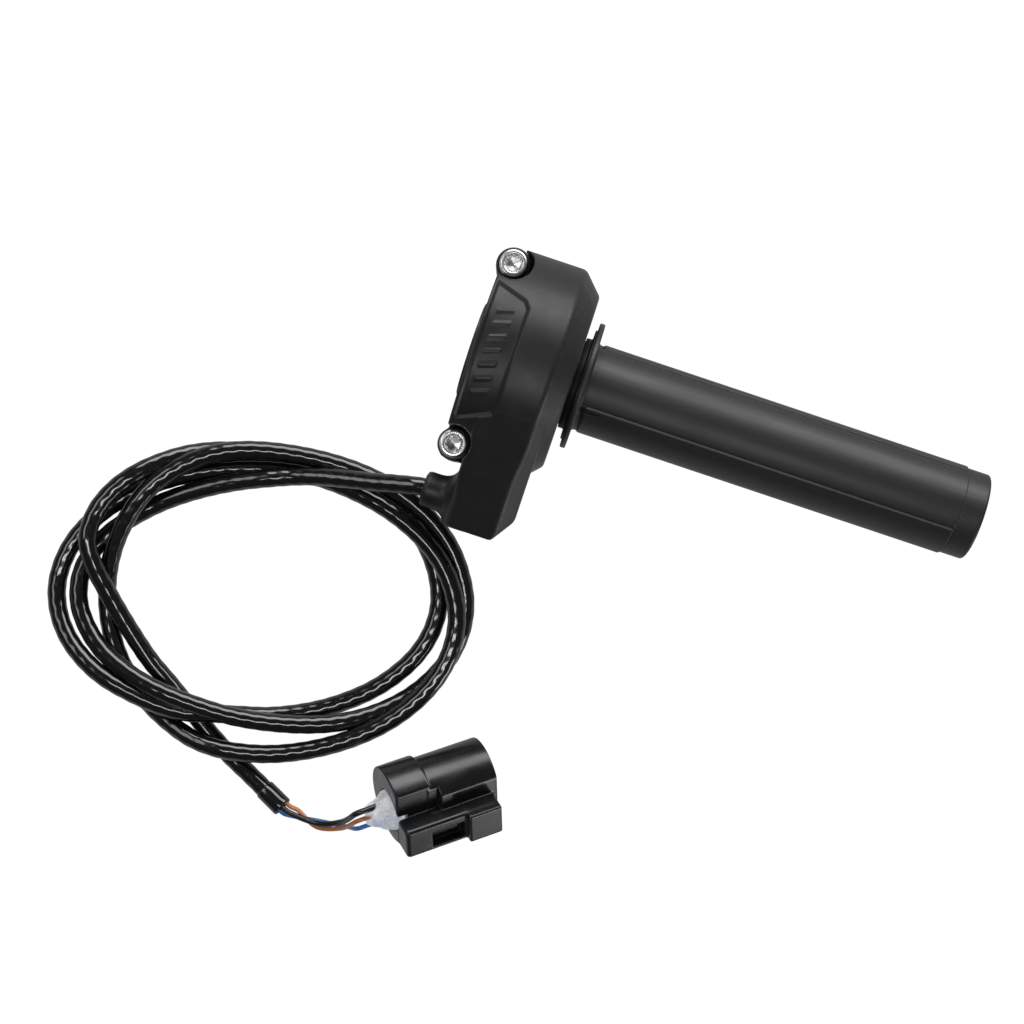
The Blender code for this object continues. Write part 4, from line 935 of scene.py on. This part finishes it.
def plug_housing():
    """A round shroud on a wider tailpiece, with a latch along one side and a socket in front."""
    room = Room((-12.6, -0.6, -12.6), (17.4, 32.0, 12.6), PLUG_GRID)
    shroud = plug_bar(room, PLUG_R, PLUG_FLAT, (PLUG_STEP - 1.0, PLUG_LONG), 0.45, 0.45)
    shoulder = brick(room, (TAILPIECE_FLAT, 20.0), (0.0, SHOULDER_Y), (LATCH_Z[1], 20.0))
    tailpiece = plug_bar(room, TAILPIECE_R, TAILPIECE_FLAT, (0.0, PLUG_STEP), 0.6, 0.5)
    shape = union(carve(shroud, shoulder, 0.4), tailpiece, 0.3)
    latch = brick(room, LATCH_X, (0.2, CATCH_Y[1] - 0.2), LATCH_Z, 1.2)
    catch = brick(room, (LATCH_X[0] + 1.0, CATCH_X), CATCH_Y, LATCH_Z, 0.7)
    shape = union(shape, union(latch, catch, 0.4), 0.4)
    window = brick(room, (WINDOW_X, 20.0), WINDOW_Y, WINDOW_Z, 0.5)
    shape = carve(shape, window, 0.4)
    shape = carve(shape, plug_bar(room, SOCKET_R, PLUG_FLAT - 1.6, (SOCKET_FROM, PLUG_LONG + 2), 0.4), 0.5)
    well = np.maximum(np.hypot(room.x - WAYS_X, room.z - WAYS_Z[1]) - WELL_R, room.y - WELL_DEEP)
    shape = carve(shape, well, 0.4)
    for z in WAYS_Z:
        way = np.hypot(room.x - WAYS_X, room.z - z) - WAY_R
        shape = carve(shape, np.maximum(way, room.y - WAY_DEEP), 0.2)
    return skin("plug_housing_skin", room, shape, "plug_housing", plug_axes())


def hot_melt():
    """Glue run in round the wires: a fan on the plug's back that thins to a ragged lip along them."""
    room = Room((-7.6, -9.4, -9.6), (9.0, 4.0, 8.0), GLUE_GRID)
    x, z = room.x - WAYS_X, room.z - WAYS_Z[1]
    turn = np.arctan2(z, x)
    lumps = 0.25 * np.sin(3 * turn + 0.9 * room.y) + 0.15 * np.sin(5 * turn - 1.7 * room.y + 1.0)
    slope = np.interp(room.y, *GLUE_SLOPE).astype(np.float32)
    shape = np.hypot(x, z) - slope - lumps * np.clip(-room.y * 0.4, 0, 1)
    ragged = GLUE_END + 0.9 * np.sin(4 * turn) + 0.5 * np.sin(7 * turn + 1.3)
    shape = meet(shape, np.maximum(ragged - room.y, room.y - GLUE_Y), 1.2)
    for way in WAYS_Z:
        shape = carve(shape, np.hypot(x, room.z - way) - 1.0, 0.4)
    return skin("hot_melt_skin", room, shape, "hot_melt_plug", plug_axes())


# ---- the rest of the frame -----------------------------------------------------------------------

def dress_frame():
    """Gives every CAD node its slot's material; the ones with a piece of their own stay hidden."""
    for name, node in frame["nodes"].items():
        node.data.materials.clear()
        node.data.materials.append(MATERIALS[SLOT_OF[name]])


# ---- floor, light and camera ---------------------------------------------------------------------

def split_glow(tree, seen, felt):
    """A strength with one value where the camera looks and another for the light it sheds."""
    glow = tree.nodes.new("ShaderNodeMapRange")
    glow.inputs["To Min"].default_value = felt
    glow.inputs["To Max"].default_value = seen
    path = tree.nodes.new("ShaderNodeLightPath")
    tree.links.new(path.outputs["Is Camera Ray"], glow.inputs["Value"])
    return glow.outputs["Result"]


def floor():
    """A plain white bench under the part."""
    middle = np.array((*VIEW_POINT, BENCH_Z - 0.02)) + BAR
    corners = [middle + BENCH_HALF * np.array((a, b, 0.0)) for a, b in ((-1, -1), (1, -1), (1, 1), (-1, 1))]
    mesh = bpy.data.meshes.new("floor")
    mesh.from_pydata(np.array(corners) * MM, [], [(0, 1, 2, 3)])
    made = bpy.data.objects.new("floor", mesh)
    bpy.context.scene.collection.objects.link(made)
    n = Nodes("floor_white")
    n.finish(n.mix(n.noise(400.0), (0.04, 0.04, 0.04), (0.05, 0.05, 0.05)), 0.9, Specular_IOR_Level=0.0)
    n.shader.inputs["Emission Color"].default_value = (1.0, 1.0, 1.0, 1.0)
    n.link(split_glow(n.tree, 1.0, FLOOR_GLOW), n.shader.inputs["Emission Strength"])
    mesh.materials.append(n.material)


def sky():
    """White where the camera looks past the floor, dim where it lights the part."""
    world = bpy.data.worlds.new("studio")
    bpy.context.scene.world = world
    world.use_nodes = True
    shade = world.node_tree.nodes["Background"]
    shade.inputs["Color"].default_value = (1.0, 1.0, 1.0, 1.0)
    world.node_tree.links.new(split_glow(world.node_tree, 1.0, SKY_GLOW), shade.inputs["Strength"])


def softbox(name, at, size, power):
    """A rectangular lamp, placed from the point under the camera, which it faces."""
    data = bpy.data.lights.new(name, "AREA")
    data.shape = "RECTANGLE"
    data.size, data.size_y = size[0] * MM, size[1] * MM
    data.energy = power
    lamp = bpy.data.objects.new(name, data)
    aim = np.array((*VIEW_POINT, 0.0)) + BAR
    lamp.location = Vector((aim + at) * MM)
    lamp.rotation_euler = Vector(-np.array(at)).to_track_quat("-Z", "Y").to_euler()
    bpy.context.scene.collection.objects.link(lamp)


def lights():
    """A wide window behind, a narrow panel overhead and a weak fill from either side."""
    softbox("window", (0.0, 830.0, 390.0), (1300.0, 520.0), 11.5)
    softbox("panel", (0.0, -160.0, 660.0), (460.0, 80.0), 1.25)
    softbox("left_fill", (-600.0, 60.0, 620.0), (500.0, 260.0), 1.2)
    softbox("right_fill", (800.0, -400.0, 40.0), (500.0, 320.0), 3.2)


def camera():
    """Looks straight down on the part, turned about its own axis."""
    data = bpy.data.cameras.new("camera")
    data.lens, data.sensor_width = LENS, SENSOR
    data.clip_start, data.clip_end = 0.01, 20.0
    made = bpy.data.objects.new("camera", data)
    made.location = Vector((np.array((*VIEW_POINT, VIEW_HEIGHT)) + BAR) * MM)
    made.rotation_euler = (0.0, 0.0, math.radians(VIEW_ROLL))
    bpy.context.scene.collection.objects.link(made)
    bpy.context.scene.camera = made


def build():
    """Every piece, then the setting; the Standard view keeps the white floor white."""
    dress_frame()
    front_case()
    rear_case()
    twist_tube()
    for lug in LUGS:
        clamp_screw(lug.side, lug.x, lug.y)
        clamp_nut(lug.side, lug.x, lug.y)
    for screw in CASE_SCREWS:
        case_screw(screw.name, screw.x, screw.y, screw.seat, screw.tip)
    end_sleeve(cable())
    wires()
    plug_housing()
    hot_melt()
    floor()
    sky()
    lights()
    camera()
    bpy.context.scene.view_settings.view_transform = "Standard"


build()
